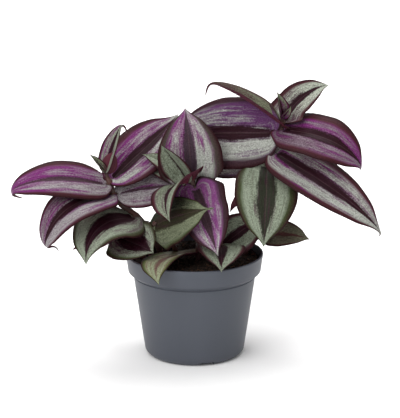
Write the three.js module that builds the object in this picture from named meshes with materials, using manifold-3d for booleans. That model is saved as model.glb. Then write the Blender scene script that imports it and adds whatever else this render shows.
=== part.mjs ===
// A potted tradescantia: striped leaves on trailing stems in a small round nursery pot.
// Millimetres, +Z up. The origin is the middle of the pot's underside, and -Y is the front.
import * as THREE from 'three';
import { mergeVertices } from 'three/addons/utils/BufferGeometryUtils.js';
import Module from 'manifold-3d';

const wasm = await Module();
wasm.setup();

// Driving sizes of the pot, a 9 cm round one
const POT_HEIGHT = 68;
const RIM_RADIUS = 45;
const BAND_HEIGHT = 13;
const STEP_RISE = 4;
const BAND_FOOT_RADIUS = 43.4;
const BODY_TOP_RADIUS = 40;
const BODY_FOOT_RADIUS = 32.6;
const WALL = 1.2;
const FLOOR = 1.4;
const FOOT_RISE = 1.5;
const FOOT_RING_RADIUS = 27;
const FOOT_DISC_RADIUS = 9;
const CORNER = 3;
const POT_FACETS = 48;
const DRAINS = { count: 8, radius: 3, circle: 19 };
const NOTCH = { count: 4, width: 9, height: 1.5, first: -75 };

// The soil fills the pot to a little under the rim, and its top is lumpy
const SOIL_TOP = 63.6;
const SOIL_LUMP = 0.9;
const SOIL_RINGS = 5;

// Clearances between the soil and the pot, a stem and its hole, and a bud and its stem
const SOIL_SLACK = 0.5;
const HOLE_SLACK = 0.4;
const BUD_SLACK = 0.9;

// Leaves: blade thickness, stations along and strips across, for long leaves and for short ones.
// A tip hooks from HOOK_FROM on, and a long leaf's draws in from TAIL_FROM on by TAIL of its width.
// NECK and TIP are the shares of the width left at the two ends. A blade starts SEAT off its stem's skin
const BLADE = 0.7;
const LONG = { along: 9, across: 6 };
const SHORT = { along: 8, across: 4 };
const SHORT_LEAF = 21;
const HOOK_FROM = 0.84;
const TAIL_FROM = 0.78;
const TAIL = 0.45;
const NECK = 0.08;
const TIP = 0.02;
const SEAT = 0.86;

// Stems: sides, and steps between two of the points that they pass through
const STEM_SIDES = 8;
const STEM_STEPS = 3;

// Each stem passes through these points, from the soil up, and tapers from the first radius to the second
const STEMS = {
  left: {
    radius: [2.2, 1.5],
    through: [
      [-19, 2, 56], [-25, -1, 76], [-32, -4, 87], [-39, -5, 95],
      [-47, -7, 102], [-52, -10, 109], [-54, -12, 117], [-56, -11, 121],
    ],
  },
  middle: {
    radius: [2.2, 1.6],
    through: [[2, -2, 54], [3, -2, 77], [3, -4, 97], [1, -8, 110], [-2, -9, 118], [-3, -9.5, 123]],
  },
  right: {
    radius: [2.4, 1.6],
    through: [[31, 10, 54], [36, 9, 80], [42, 5, 105], [47, 1, 126], [52, -2, 141], [56, -3, 156]],
  },
  inner: {
    radius: [1.8, 1.4],
    through: [[-8, 4, 55], [-15, -4, 76], [-26, -18, 93]],
  },
  front: {
    radius: [1.8, 1.4],
    through: [[11, -7, 56], [14, -9, 70], [18, -10, 77]],
  },
  low_left: {
    radius: [1.8, 1.4],
    through: [[-28, -6, 58], [-38, -13, 75], [-47, -15, 83], [-52, -15, 86]],
  },
  low_right: {
    radius: [1.8, 1.4],
    through: [[25, 12, 57], [37, 15, 70], [47, 13, 77]],
  },
};

// Each leaf grows from a stem at a height, on the side towards its tip or towards out.
// bow lifts its midrib off the straight line to the tip at two places, and sway shifts it sideways.
// face is the way that its upper side looks. fold, curl, twist and hook are in degrees:
// fold opens the two halves as a V, curl turns the margins down and hook turns the tip under.
// widest is where along the blade it is widest.
const LEAVES = {
  left_leaf_1: {
    from: ['left', 117], out: [-1, -0.3, 0], tip: [-121, -33, 115], width: 32, bow: [10, 19],
    face: [-0.1, -0.62, 0.78], fold: 14, curl: 30, hook: 120,
  },
  left_leaf_2: {
    from: ['left', 110], out: [-1, -0.5, 0], tip: [-96, -38, 77], width: 31, bow: [19, 34],
    face: [-0.45, -0.75, 0.45], fold: 14, curl: 25, hook: 110,
  },
  left_leaf_3: {
    from: ['left', 118.5], out: [0.4, 0.9, 0], tip: [-11, 39, 151.5], width: 36, bow: [4, -0.5],
    sway: [1, 2], face: [-0.2, -0.85, 0.4], fold: 8, curl: 6, widest: 0.46,
  },
  left_leaf_4: {
    from: ['left', 108], out: [1, 0.4, 0], tip: [-8, 6, 112], width: 26, bow: [3, 3],
    face: [0, -0.8, 0.6], fold: 8, curl: 15,
  },
  left_leaf_5: {
    from: ['left', 102], out: [0.4, 0.9, 0], tip: [-76, 34, 78], width: 28, bow: [10, 12],
    face: [-0.2, 0.5, 0.9], fold: 8, curl: 20,
  },
  left_leaf_6: {
    from: ['left', 115], tip: [-86, 36, 100], width: 28, bow: [10, 12],
    face: [-0.2, 0.5, 0.9], fold: 8, curl: 20,
  },
  left_leaf_7: {
    from: ['left', 75], out: [-0.5, 1, 0], tip: [-36, 56, 56], width: 30, bow: [14, 20],
    face: [-0.1, 0.5, 0.9], fold: 8, curl: 20,
  },
  left_leaf_8: {
    from: ['left', 94], out: [-0.8, -0.6, 0], tip: [-68, -47, 73.5], width: 42, bow: [13, 19],
    sway: [0.5, 9], face: [-0.5, -0.85, 0.5], fold: 8, curl: 19,
  },
  middle_leaf_1: {
    from: ['middle', 118.5], out: [0.3, 1, 0], tip: [-6, 9, 162], width: 42, bow: [7.5, 9],
    face: [0.03, -1, 0.2], fold: 8, curl: 17, widest: 0.3,
  },
  middle_leaf_2: {
    from: ['middle', 120.5], out: [-0.9, -0.4, 0], tip: [-21, -16, 143.5], width: 23, bow: [-1, -1],
    sway: [-0.5, 0], face: [-0.45, -0.85, -0.3], fold: 26, curl: 8,
  },
  middle_leaf_3: {
    from: ['middle', 118], out: [-0.4, -0.9, 0], tip: [-15, -49, 102], width: 30, bow: [12, 14],
    sway: [-1, 3], face: [-0.75, -0.6, 0.5], fold: 20, curl: 15,
  },
  middle_leaf_4: {
    from: ['middle', 113.5], out: [0.4, -0.9, 0], tip: [15, -43, 78], width: 33, bow: [-1, 5.5],
    face: [-0.05, -0.95, 0.35], fold: 8, curl: 19, widest: 0.33,
  },
  middle_leaf_5: {
    from: ['middle', 101], out: [0.5, 0.9, 0], tip: [-6, 60, 78], width: 34, bow: [11, 13],
    face: [0, 0.5, 0.9], fold: 8, curl: 20,
  },
  middle_leaf_6: {
    from: ['middle', 84], out: [0, 1, 0], tip: [12, 58, 66], width: 28, bow: [12, 16],
    face: [0.1, 0.5, 0.9], fold: 8, curl: 20,
  },
  right_leaf_1: {
    from: ['right', 148], out: [-0.9, -0.4, 0], tip: [-16, 36, 138], width: 48, bow: [5, 6],
    face: [-0.05, -0.92, 0.38], fold: 5, curl: 15, widest: 0.42,
  },
  right_leaf_2: {
    from: ['right', 151], out: [1, -0.6, 0], tip: [108, -20, 128], width: 36, bow: [12, 21],
    face: [0.1, -0.65, 0.75], fold: 12, curl: 25, hook: 30, widest: 0.42,
  },
  right_leaf_3: {
    from: ['right', 137], out: [0.3, -1, 0], tip: [120, -40, 90], width: 34, bow: [6, 20],
    sway: [1, 3], face: [0.15, -0.7, 0.7], fold: 10, curl: 18, hook: 20,
  },
  right_leaf_4: {
    from: ['right', 126], out: [0, -1, 0], tip: [44, -32, 81], width: 41, bow: [14, 14],
    face: [0, -0.9, 0.4], fold: 8, curl: 25, widest: 0.4,
  },
  right_leaf_5: {
    from: ['right', 155], out: [-1, 0, 0], tip: [5.5, 4, 181], width: 22, bow: [3, 5],
    face: [0.5, -0.1, 0.85], fold: 30, curl: 9, hook: 120,
  },
  right_leaf_6: {
    from: ['right', 155], out: [1, 1, 0], tip: [86.5, 8, 178], width: 25, bow: [0, 1], sway: [-8, -6],
    face: [-0.5, -0.75, 0.4], fold: 20, curl: 10, hook: 40,
  },
  right_leaf_7: {
    from: ['right', 125], out: [-0.8, 1, 0], tip: [-3, 30, 117], width: 24, bow: [2, 2],
    face: [-0.05, -0.6, 0.8], fold: 5, curl: 15,
  },
  right_leaf_8: {
    from: ['right', 106], tip: [23, 3, 94], width: 20, bow: [1, 2],
    face: [0, 0.45, 0.9], fold: 20, curl: 10,
  },
  right_leaf_9: {
    from: ['right', 118], tip: [88, 50, 92], width: 32, bow: [12, 12],
    face: [0.3, 0.4, 0.9], fold: 8, curl: 20,
  },
  right_leaf_10: {
    from: ['right', 109], tip: [44, 66, 80], width: 32, bow: [12, 14],
    face: [-0.1, 0.5, 0.9], fold: 8, curl: 20,
  },
  right_leaf_11: {
    from: ['right', 81], tip: [46, 64, 56], width: 30, bow: [12, 18],
    face: [0.1, 0.5, 0.9], fold: 8, curl: 20,
  },
  inner_leaf_1: {
    from: ['inner', 92.5], out: [0.4, -0.9, 0], tip: [10.5, -43, 109], width: 34, bow: [6.5, 4.5],
    face: [-0.1, -0.85, 0.55], fold: -20, curl: 6, widest: 0.28,
  },
  front_leaf_1: {
    from: ['front', 75], out: [0, -1, 0], tip: [17, -48, 69], width: 32, bow: [7, 8],
    face: [0.05, -0.45, 0.88], fold: 12, curl: 15,
  },
  front_leaf_2: {
    from: ['front', 76], out: [1, 0.6, 0], tip: [43, 2, 89], width: 27, bow: [5, 8],
    face: [0.1, -0.8, 0.6], fold: 12, curl: 15,
  },
  front_leaf_3: {
    from: ['middle', 68], out: [-0.4, -0.9, 0], tip: [-22, -59, 64], width: 31, bow: [5, 15],
    sway: [5, 14], face: [-0.15, 0.1, 0.95], fold: 14, curl: 10,
  },
  low_left_leaf_1: {
    from: ['low_left', 86], tip: [-78, -22, 76], width: 22, bow: [2, 2],
    face: [0, 0.6, 0.5], fold: 5, curl: 10,
  },
  low_left_leaf_2: {
    from: ['low_left', 82], out: [0, -1, 0], tip: [-26, -32, 76.5], width: 37, bow: [1.5, 2.5],
    sway: [1, 0], face: [0, -0.55, 0.7], fold: 12, curl: 10,
  },
  low_right_leaf_1: {
    from: ['low_right', 77], out: [1, -0.8, 0], tip: [75, -2, 77], width: 20, bow: [5, 5],
    face: [0, -0.7, 0.7], fold: 12, curl: 15,
  },
};

// The growing tip of a shoot: a rolled spear with young leaves round it. It stands on the end of its
// stem, or in a leaf's corner where from and out are given
const BUDS = {
  left_bud: {
    stem: 'left',
    spear: [[-57, -11, 126], [-58.5, -12, 131]],
    leaves: [
      {
        tip: [-45.6, -4, 156.5], width: 17, bow: [1, 2],
        face: [-0.75, -0.65, 0.1], fold: 30, curl: 10, hook: 130,
      },
      { tip: [-66.5, -16, 137.5], width: 7, bow: [0, 0], face: [0.5, -0.6, 0.5], fold: 40, curl: 0 },
      { tip: [-51.5, -12, 138.5], width: 11, bow: [0, 0], face: [0.3, 0.9, 0.2], fold: 20, curl: 0 },
    ],
  },
  middle_bud: {
    stem: 'middle',
    from: ['middle', 108], out: [-0.2, 1, 0],
    spear: [[-3, 2, 115], [-8, 5, 122]],
    leaves: [
      { tip: [-33.7, 6, 132], width: 16, bow: [6, 8], face: [0.1, -0.7, 0.7], fold: 20, curl: 20 },
      { tip: [-32.5, 5, 123], width: 14, bow: [4, 5], face: [0.1, -0.7, 0.7], fold: 20, curl: 20 },
    ],
  },
  right_bud: {
    stem: 'right',
    spear: [[56.5, -3.5, 161], [55.5, -5, 167]],
    leaves: [
      { tip: [52.5, -10, 176.5], width: 12, bow: [1, 1], face: [0.4, -0.8, 0.1], fold: 50, curl: 0 },
      { tip: [61.5, -8, 167], width: 7, bow: [1, 1], face: [0.3, -0.9, 0.1], fold: 40, curl: 0 },
    ],
  },
};

// Colours, as the photograph shows them
const POT_PLASTIC = new THREE.MeshStandardMaterial({ color: 0x5d6167, roughness: 0.55, metalness: 0 });
const SOIL_PEAT = new THREE.MeshStandardMaterial({ color: 0x1b1512, roughness: 0.95, metalness: 0 });
const STEM_SKIN = new THREE.MeshStandardMaterial({ color: 0x6b4238, roughness: 0.5, metalness: 0 });
const LEAF_SKIN = new THREE.MeshStandardMaterial({ color: 0x7d6a7c, roughness: 0.4, metalness: 0 });

const vector = (p) => new THREE.Vector3(p[0], p[1], p[2]);
const radians = THREE.MathUtils.degToRad;
const lerp = THREE.MathUtils.lerp;

// A closed geometry from points and triangles
function closedGeometry(points, triangles) {
  const geometry = new THREE.BufferGeometry();
  geometry.setAttribute('position', new THREE.Float32BufferAttribute(points.flat(), 3));
  geometry.setIndex(triangles.flat());
  geometry.computeVertexNormals();
  return geometry;
}

// Booleans: a three.js geometry becomes a solid, and a solid becomes a geometry again
function solid(geometry) {
  const bare = geometry.clone();
  bare.deleteAttribute('normal');
  bare.deleteAttribute('uv');
  const merged = mergeVertices(bare, 1e-4);
  return new wasm.Manifold(new wasm.Mesh({
    numProp: 3,
    vertProperties: new Float32Array(merged.attributes.position.array),
    triVerts: new Uint32Array(merged.index.array),
  }));
}

function geometryOf(manifold) {
  const mesh = manifold.getMesh();
  const geometry = new THREE.BufferGeometry();
  geometry.setAttribute('position', new THREE.BufferAttribute(mesh.vertProperties, 3));
  geometry.setIndex(new THREE.BufferAttribute(mesh.triVerts, 1));
  geometry.computeVertexNormals();
  return geometry;
}

// Rings of points along a path, joined and capped
function ringedTube(path, radiusAt, sides) {
  const points = [];
  const triangles = [];
  const lookAside = new THREE.Vector3(0.3, 1, 0.1);
  path.forEach((centre, i) => {
    const before = path[Math.max(i - 1, 0)];
    const after = path[Math.min(i + 1, path.length - 1)];
    const along = after.clone().sub(before).normalize();
    const a = along.clone().cross(lookAside).normalize();
    const b = along.clone().cross(a);
    for (let k = 0; k < sides; k += 1) {
      const turn = (2 * Math.PI * k) / sides;
      const r = radiusAt(i / (path.length - 1));
      const spoke = a.clone().multiplyScalar(r * Math.cos(turn)).addScaledVector(b, r * Math.sin(turn));
      points.push(centre.clone().add(spoke).toArray());
    }
  });
  for (let i = 0; i < path.length - 1; i += 1) {
    for (let k = 0; k < sides; k += 1) {
      const next = (k + 1) % sides;
      const [p, q] = [i * sides + k, i * sides + next];
      triangles.push([p, q, q + sides], [p, q + sides, p + sides]);
    }
  }
  const last = (path.length - 1) * sides;
  for (let k = 1; k < sides - 1; k += 1) {
    triangles.push([0, k + 1, k], [last, last + k, last + k + 1]);
  }
  return closedGeometry(points, triangles);
}

// Stems
function stemCurve(name) {
  return new THREE.CatmullRomCurve3(STEMS[name].through.map(vector), false, 'catmullrom', 0.5);
}

function stemTube(name, extra) {
  const { radius, through } = STEMS[name];
  const path = stemCurve(name).getPoints((through.length - 1) * STEM_STEPS);
  if (extra > 0) {
    const down = path[0].clone().sub(path[1]).normalize();
    path.unshift(path[0].clone().addScaledVector(down, extra));
  }
  return ringedTube(path, (t) => lerp(radius[0], radius[1], t) + extra, STEM_SIDES);
}

// The point of a stem at a height, the way that the stem runs there and how thick it is
function stemAt(name, height) {
  const curve = stemCurve(name);
  const samples = 400;
  let best = 0;
  for (let i = 1; i <= samples; i += 1) {
    const off = Math.abs(curve.getPoint(i / samples).z - height);
    if (off < Math.abs(curve.getPoint(best).z - height)) {
      best = i / samples;
    }
  }
  const { radius } = STEMS[name];
  return {
    point: curve.getPoint(best),
    along: curve.getTangent(best),
    radius: lerp(radius[0], radius[1], best),
  };
}

function seat(from, out, tip) {
  const { point, along, radius } = stemAt(from[0], from[1]);
  const way = out ? vector(out) : vector(tip).sub(point);
  way.addScaledVector(along, -way.dot(along)).normalize();
  return point.addScaledVector(way, radius + SEAT);
}

// Half the width of a blade at s along it, as a share of its widest half
function outline(s, widest, tail) {
  const tipPower = 0.95;
  const basePower = (tipPower * widest) / (1 - widest);
  const peak = widest ** basePower * (1 - widest) ** tipPower;
  const share = (s ** basePower * (1 - s) ** tipPower) / peak;
  const drawn = 1 - tail * THREE.MathUtils.smoothstep(s, TAIL_FROM, 1);
  return Math.max(share * drawn, NECK * (1 - s / 0.1), TIP);
}

// Where the points of a blade's cross-section lie: a V that opens by fold, with margins turned by curl
function crossSection(across, fold, curl) {
  const steps = 20;
  const angle = (v) => radians(fold * Math.tanh(v / 0.1) - curl * v ** 1.3);
  const half = [[0, 0]];
  for (let i = 1; i <= steps; i += 1) {
    const middle = (angle(i / steps) + angle((i - 1) / steps)) / 2;
    const [x, z] = half[i - 1];
    half.push([x + Math.cos(middle) / steps, z + Math.sin(middle) / steps]);
  }
  const section = [];
  for (let j = 0; j <= across; j += 1) {
    const v = (2 * j) / across - 1;
    const at = Math.abs(v) * steps;
    const low = Math.min(Math.floor(at), steps - 1);
    const x = lerp(half[low][0], half[low + 1][0], at - low);
    const z = lerp(half[low][1], half[low + 1][1], at - low);
    section.push([Math.sign(v) * x, z]);
  }
  return section;
}

// Stations of a midrib, closer together at both ends: point, way along, upward and sideways
function midrib(base, leaf, along) {
  const tip = vector(leaf.tip);
  const face = vector(leaf.face).normalize();
  const sway = leaf.sway ?? [0, 0];
  const chord = tip.clone().sub(base);
  const up = face.clone().addScaledVector(chord, -face.dot(chord) / chord.lengthSq()).normalize();
  const side = chord.clone().cross(up).normalize();
  const knee = (share, lift, shift) => base.clone().addScaledVector(chord, share)
    .addScaledVector(up, lift).addScaledVector(side, shift);
  const curve = new THREE.CubicBezierCurve3(
    base,
    knee(0.3, leaf.bow[0], sway[0]),
    knee(0.72, leaf.bow[1], sway[1]),
    tip,
  );
  curve.arcLengthDivisions = 200;
  const length = curve.getLength();
  const stations = [];
  for (let i = 0; i <= along; i += 1) {
    const even = i / along;
    const s = 0.5 * even + 0.25 * (1 - Math.cos(Math.PI * even));
    const point = curve.getPointAt(s);
    const tangent = curve.getTangentAt(s);
    const normal = face.clone().addScaledVector(tangent, -face.dot(tangent)).normalize();
    const sideways = tangent.clone().cross(normal);
    if (leaf.hook && s > HOOK_FROM) {
      const share = (s - HOOK_FROM) / (1 - HOOK_FROM);
      const turn = -radians(leaf.hook) * share ** 1.5;
      tangent.applyAxisAngle(sideways, turn);
      normal.applyAxisAngle(sideways, turn);
      const before = stations[i - 1];
      point.copy(before.point).addScaledVector(tangent, (s - before.s) * length);
    }
    stations.push({ s, point, normal, sideways });
  }
  return stations;
}

// A leaf blade: two skins of points, alike, BLADE apart, joined all round their edge
function bladeGeometry(base, leaf) {
  const { along, across } = leaf.width < SHORT_LEAF ? SHORT : LONG;
  const section = crossSection(across, leaf.fold, leaf.curl);
  const middle = midrib(base, leaf, along).map(({ s, point, normal, sideways }) => {
    const { width, widest = 0.36 } = leaf;
    const half = (width / 2) * outline(s, widest, width < SHORT_LEAF ? 0 : TAIL);
    return section.map(([x, z]) => point.clone()
      .addScaledVector(sideways, half * x).addScaledVector(normal, half * z));
  });
  const at = (i, j) => middle[Math.min(Math.max(i, 0), along)][Math.min(Math.max(j, 0), across)];
  const row = across + 1;
  const skins = [1, -1].map((way) => middle.flatMap((line, i) => line.map((p, j) => {
    const lengthways = at(i + 1, j).clone().sub(at(i - 1, j));
    const crossways = at(i, j + 1).clone().sub(at(i, j - 1));
    const normal = crossways.cross(lengthways).normalize();
    return p.clone().addScaledVector(normal, (way * BLADE) / 2).toArray();
  })));
  const under = skins[0].length;
  const triangles = [];
  for (let i = 0; i < along; i += 1) {
    for (let j = 0; j < across; j += 1) {
      const p = i * row + j;
      for (const [a, b, c] of [[p, p + 1, p + row + 1], [p, p + row + 1, p + row]]) {
        triangles.push([a, b, c], [under + a, under + c, under + b]);
      }
    }
  }
  const edge = [];
  for (let j = 0; j < across; j += 1) edge.push(j);
  for (let i = 0; i < along; i += 1) edge.push(i * row + across);
  for (let j = across; j > 0; j -= 1) edge.push(along * row + j);
  for (let i = along; i > 0; i -= 1) edge.push(i * row);
  edge.forEach((p, k) => {
    const q = edge[(k + 1) % edge.length];
    triangles.push([p, under + p, under + q], [p, under + q, q]);
  });
  return closedGeometry(skins.flat(), triangles);
}

// A bud: a spear with its young leaves' roots sunk in it
function budFoot({ stem, from, out, spear }) {
  if (from) {
    return seat(from, out, spear[0]);
  }
  const end = vector(STEMS[stem].through.at(-1));
  const rise = vector(spear[0]).sub(end).normalize();
  return end.addScaledVector(rise, BUD_SLACK);
}

function budGeometry(bud) {
  const { stem, spear, leaves } = bud;
  const { radius } = STEMS[stem];
  const first = vector(spear[0]);
  const foot = budFoot(bud);
  const path = [foot, first, vector(spear[1])];
  let body = solid(ringedTube(path, (t) => lerp(radius[1] * 0.9, 0.4, t * t), STEM_SIDES));
  const root = foot.clone().lerp(first, 0.6);
  for (const leaf of leaves) {
    body = body.add(solid(bladeGeometry(root, leaf)));
  }
  return geometryOf(body);
}

// The pot: one turned shell with a stepped band, a foot ring and a foot disc
function potOutside() {
  const bandFoot = POT_HEIGHT - BAND_HEIGHT;
  return [
    [0, 0],
    [FOOT_DISC_RADIUS, 0],
    [FOOT_DISC_RADIUS + 1, FOOT_RISE],
    [FOOT_RING_RADIUS - 1, FOOT_RISE],
    [FOOT_RING_RADIUS, 0],
    [BODY_FOOT_RADIUS - CORNER, 0],
    [BODY_FOOT_RADIUS - CORNER * 0.3, CORNER * 0.3],
    [BODY_FOOT_RADIUS, CORNER],
    [BODY_TOP_RADIUS, bandFoot - STEP_RISE],
    [BAND_FOOT_RADIUS - 0.6, bandFoot],
    [BAND_FOOT_RADIUS, bandFoot + 1.2],
    [RIM_RADIUS - 0.2, POT_HEIGHT - 2],
    [RIM_RADIUS, POT_HEIGHT - 1],
    [RIM_RADIUS - 0.4, POT_HEIGHT - 0.2],
    [RIM_RADIUS - 0.9, POT_HEIGHT],
  ];
}

function potInside(inset) {
  const bandFoot = POT_HEIGHT - BAND_HEIGHT;
  return [
    [RIM_RADIUS - WALL - 0.4 - inset, POT_HEIGHT - 0.5],
    [BAND_FOOT_RADIUS - WALL - 0.3 - inset, bandFoot + 0.6],
    [BODY_TOP_RADIUS - WALL - inset, bandFoot - STEP_RISE - 1],
    [BODY_FOOT_RADIUS - WALL - inset, CORNER + 1],
    [BODY_FOOT_RADIUS - WALL - inset - 1.5, FOOT_RISE + FLOOR + inset],
    [0, FOOT_RISE + FLOOR + inset],
  ];
}

function turned(profile) {
  const points = profile.map(([r, z]) => new THREE.Vector2(r, z));
  return new THREE.LatheGeometry(points, POT_FACETS).rotateX(Math.PI / 2);
}

function potGeometry() {
  let pot = solid(turned([...potOutside(), ...potInside(0)]));
  for (let i = 0; i < DRAINS.count; i += 1) {
    const turn = (2 * Math.PI * i) / DRAINS.count;
    const drain = new THREE.CylinderGeometry(DRAINS.radius, DRAINS.radius, 12, 12).rotateX(Math.PI / 2);
    drain.translate(DRAINS.circle * Math.cos(turn), DRAINS.circle * Math.sin(turn), 0);
    pot = pot.subtract(solid(drain));
  }
  for (let i = 0; i < NOTCH.count; i += 1) {
    const reach = BODY_FOOT_RADIUS + 2 - (FOOT_RING_RADIUS - 2);
    const notch = new THREE.BoxGeometry(reach, NOTCH.width, 2 * NOTCH.height);
    notch.translate(FOOT_RING_RADIUS - 2 + reach / 2, 0, 0);
    notch.rotateZ(radians(NOTCH.first + (360 * i) / NOTCH.count));
    pot = pot.subtract(solid(notch));
  }
  return geometryOf(pot);
}

// The soil: a plug with the pot's inner shape and a lumpy top, with a plain hole for each stem
function soilGeometry() {
  const wall = potInside(SOIL_SLACK);
  const inside = wall.filter(([, z]) => z < SOIL_TOP - 1).reverse();
  const [upper, lower] = wall;
  const share = (SOIL_TOP - lower[1]) / (upper[1] - lower[1]);
  const topRadius = lerp(lower[0], upper[0], share);
  const top = [];
  for (let i = 0; i <= SOIL_RINGS; i += 1) {
    top.push([topRadius * (1 - i / SOIL_RINGS), SOIL_TOP]);
  }
  const plug = turned([...inside, ...top]);
  const place = plug.attributes.position;
  for (let i = 0; i < place.count; i += 1) {
    const [x, y, z] = [place.getX(i), place.getY(i), place.getZ(i)];
    if (z > SOIL_TOP - 0.01 && Math.hypot(x, y) < topRadius - 1) {
      const lump = Math.sin(x * 0.55 + 1) * Math.cos(y * 0.6) + 0.6 * Math.sin(x * 0.21 - y * 0.33);
      place.setZ(i, z + SOIL_LUMP * lump);
    }
  }
  let soil = solid(plug);
  for (const name of Object.keys(STEMS)) {
    soil = soil.subtract(solid(stemTube(name, HOLE_SLACK)));
  }
  return geometryOf(soil);
}

// The assembly
const plant = new THREE.Group();

function place(name, geometry, material) {
  const mesh = new THREE.Mesh(geometry, material);
  mesh.name = name;
  plant.add(mesh);
}

place('pot', potGeometry(), POT_PLASTIC);
place('soil', soilGeometry(), SOIL_PEAT);
for (const name of Object.keys(STEMS)) {
  place(`${name}_stem`, stemTube(name, 0), STEM_SKIN);
}
for (const [name, leaf] of Object.entries(LEAVES)) {
  place(name, bladeGeometry(seat(leaf.from, leaf.out, leaf.tip), leaf), LEAF_SKIN);
}
for (const [name, bud] of Object.entries(BUDS)) {
  place(name, budGeometry(bud), LEAF_SKIN);
}

export default plant;
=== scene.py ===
# %% [markdown]
# # A potted tradescantia
#
# The real object is a young trailing house plant in a small plastic nursery pot. Striped leaves with
# a silvery shine sit on arching stems, and each long stem ends in a bud of rolled young leaves.
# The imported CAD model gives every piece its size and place. This lesson keeps those, and makes the
# finer surfaces: thin waved blades, their stripes, the sheaths, the moulded pot and the loose soil.

import math
from itertools import combinations

import bmesh
import bpy
import numpy as np
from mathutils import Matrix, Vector, noise


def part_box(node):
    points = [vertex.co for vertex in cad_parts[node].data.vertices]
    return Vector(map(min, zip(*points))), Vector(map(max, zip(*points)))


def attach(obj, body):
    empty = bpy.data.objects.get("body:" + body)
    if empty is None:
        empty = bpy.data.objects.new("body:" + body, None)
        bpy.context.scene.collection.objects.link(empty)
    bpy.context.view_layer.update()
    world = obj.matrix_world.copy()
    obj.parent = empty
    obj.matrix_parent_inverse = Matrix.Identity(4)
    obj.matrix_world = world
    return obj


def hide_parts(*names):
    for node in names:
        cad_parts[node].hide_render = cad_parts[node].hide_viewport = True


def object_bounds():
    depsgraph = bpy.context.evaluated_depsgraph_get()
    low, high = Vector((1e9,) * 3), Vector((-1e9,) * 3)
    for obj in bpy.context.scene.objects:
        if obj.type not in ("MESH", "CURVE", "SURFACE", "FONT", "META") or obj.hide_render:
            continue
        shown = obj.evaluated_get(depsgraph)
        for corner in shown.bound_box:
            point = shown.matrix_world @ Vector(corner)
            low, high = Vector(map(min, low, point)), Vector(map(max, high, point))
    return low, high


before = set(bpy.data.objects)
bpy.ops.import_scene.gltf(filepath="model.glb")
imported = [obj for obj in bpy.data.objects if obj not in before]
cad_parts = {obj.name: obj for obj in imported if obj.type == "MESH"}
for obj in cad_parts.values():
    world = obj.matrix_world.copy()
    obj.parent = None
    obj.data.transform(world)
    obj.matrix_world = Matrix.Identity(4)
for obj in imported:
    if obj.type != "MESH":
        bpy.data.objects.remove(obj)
cad_low, cad_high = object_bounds()
print("nodes in the frame:", len(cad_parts))
print("box of the frame in mm:", [round(1000 * v) for v in (*cad_low, *cad_high)])

# %% [markdown]
# ## The camera
#
# A small product like this is photographed with a long lens from a little over a metre away, so that
# near leaves don't look larger than far ones. The camera could be placed by eye, but its height and
# tilt were worked out from the pot: how round its rim looks gives the tilt, and how much narrower
# its foot looks gives the distance.

# %% Place the camera
CAMERA_PLACE = (0.0036, -1.174, 0.416)
CAMERA_TILT = 15.2
CAMERA_LENS = 161.2

collection = bpy.context.scene.collection
camera = bpy.data.objects.new("camera", bpy.data.cameras.new("camera"))
camera.location = CAMERA_PLACE
camera.rotation_euler = (math.radians(90 - CAMERA_TILT), 0, 0)
camera.data.lens = CAMERA_LENS
collection.objects.link(camera)
bpy.context.scene.camera = camera
print("camera looks down", CAMERA_TILT, "degrees through a", CAMERA_LENS, "mm lens")

# %% [markdown]
# ## The light
#
# Leaves show their stripes best in soft light from one side. One large lamp at the upper left is the
# window of the picture, a weaker one at the right keeps the shadows open, and a pale world stands in
# for the white studio walls. Large lamps make soft shadows, and small ones would make hard dark edges.
# The last lamp turns its back on the plant and lights the floor behind it, so that the floor stays
# white up to the top of the picture.

# %% Set the lamps and the world
PLANT_MIDDLE = (0, 0, 0.09)
FLOOR_BEHIND = (0, 2.1, 0)
WORLD_STRENGTH = 0.52


def lamp(name, place, size, power, aim=PLANT_MIDDLE):
    """A square lamp that looks at the plant, or at another place."""
    light = bpy.data.lights.new(name, "AREA")
    light.size = size
    light.energy = power
    made = bpy.data.objects.new(name, light)
    made.location = place
    made.rotation_euler = (Vector(aim) - Vector(place)).to_track_quat("-Z", "Y").to_euler()
    collection.objects.link(made)


lamp("key_lamp", (-0.9, -1.35, 1.5), size=1.9, power=38)
lamp("fill_lamp", (1.4, -1.2, 0.8), size=1.4, power=2)
lamp("top_lamp", (0.1, 0.5, 1.7), size=1.4, power=15)
lamp("floor_lamp", (0, 0.8, 1.3), size=1.2, power=26, aim=FLOOR_BEHIND)

world = bpy.data.worlds.new("studio")
bpy.context.scene.world = world
world.use_nodes = True
world.node_tree.nodes["Background"].inputs["Color"].default_value = (1, 1, 1, 1)
world.node_tree.nodes["Background"].inputs["Strength"].default_value = WORLD_STRENGTH
bpy.context.scene.view_settings.view_transform = "Standard"
print("lamps:", len(bpy.data.lights), "world strength:", WORLD_STRENGTH)

# %% [markdown]
# ## Nodes in one line each
#
# Every finish below is a small net of shader nodes. Made by hand in the node editor, such a net is
# easy to see but hard to read as text, so a few helpers add one node each and give back its output.
# An input can be a number, a colour or another node's output. Each helper adds to the material that
# was begun last with finish.

# %% A material and its nodes
def finish(name, roughness, specular=0.5):
    """Begins a new material. Its nodes and its main shader are the ones in hand from here on."""
    global tree, shader
    material = bpy.data.materials.new(name)
    material.use_nodes = True
    tree = material.node_tree
    shader = tree.nodes["Principled BSDF"]
    shader.inputs["Roughness"].default_value = roughness
    shader.inputs["Specular IOR Level"].default_value = specular
    return material


def add(kind, inputs=None, **settings):
    """One node, with its settings and its inputs."""
    made = tree.nodes.new(kind)
    for key, value in settings.items():
        setattr(made, key, value)
    for key, value in (inputs or {}).items():
        if isinstance(value, bpy.types.NodeSocket):
            tree.links.new(value, made.inputs[key])
        else:
            made.inputs[key].default_value = value
    return made


print("helpers: finish, add")

# %% Arithmetic with nodes
def maths(operation, *values, clamp=False):
    """One step of arithmetic."""
    return add("ShaderNodeMath", dict(enumerate(values)), operation=operation, use_clamp=clamp).outputs[0]


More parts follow.
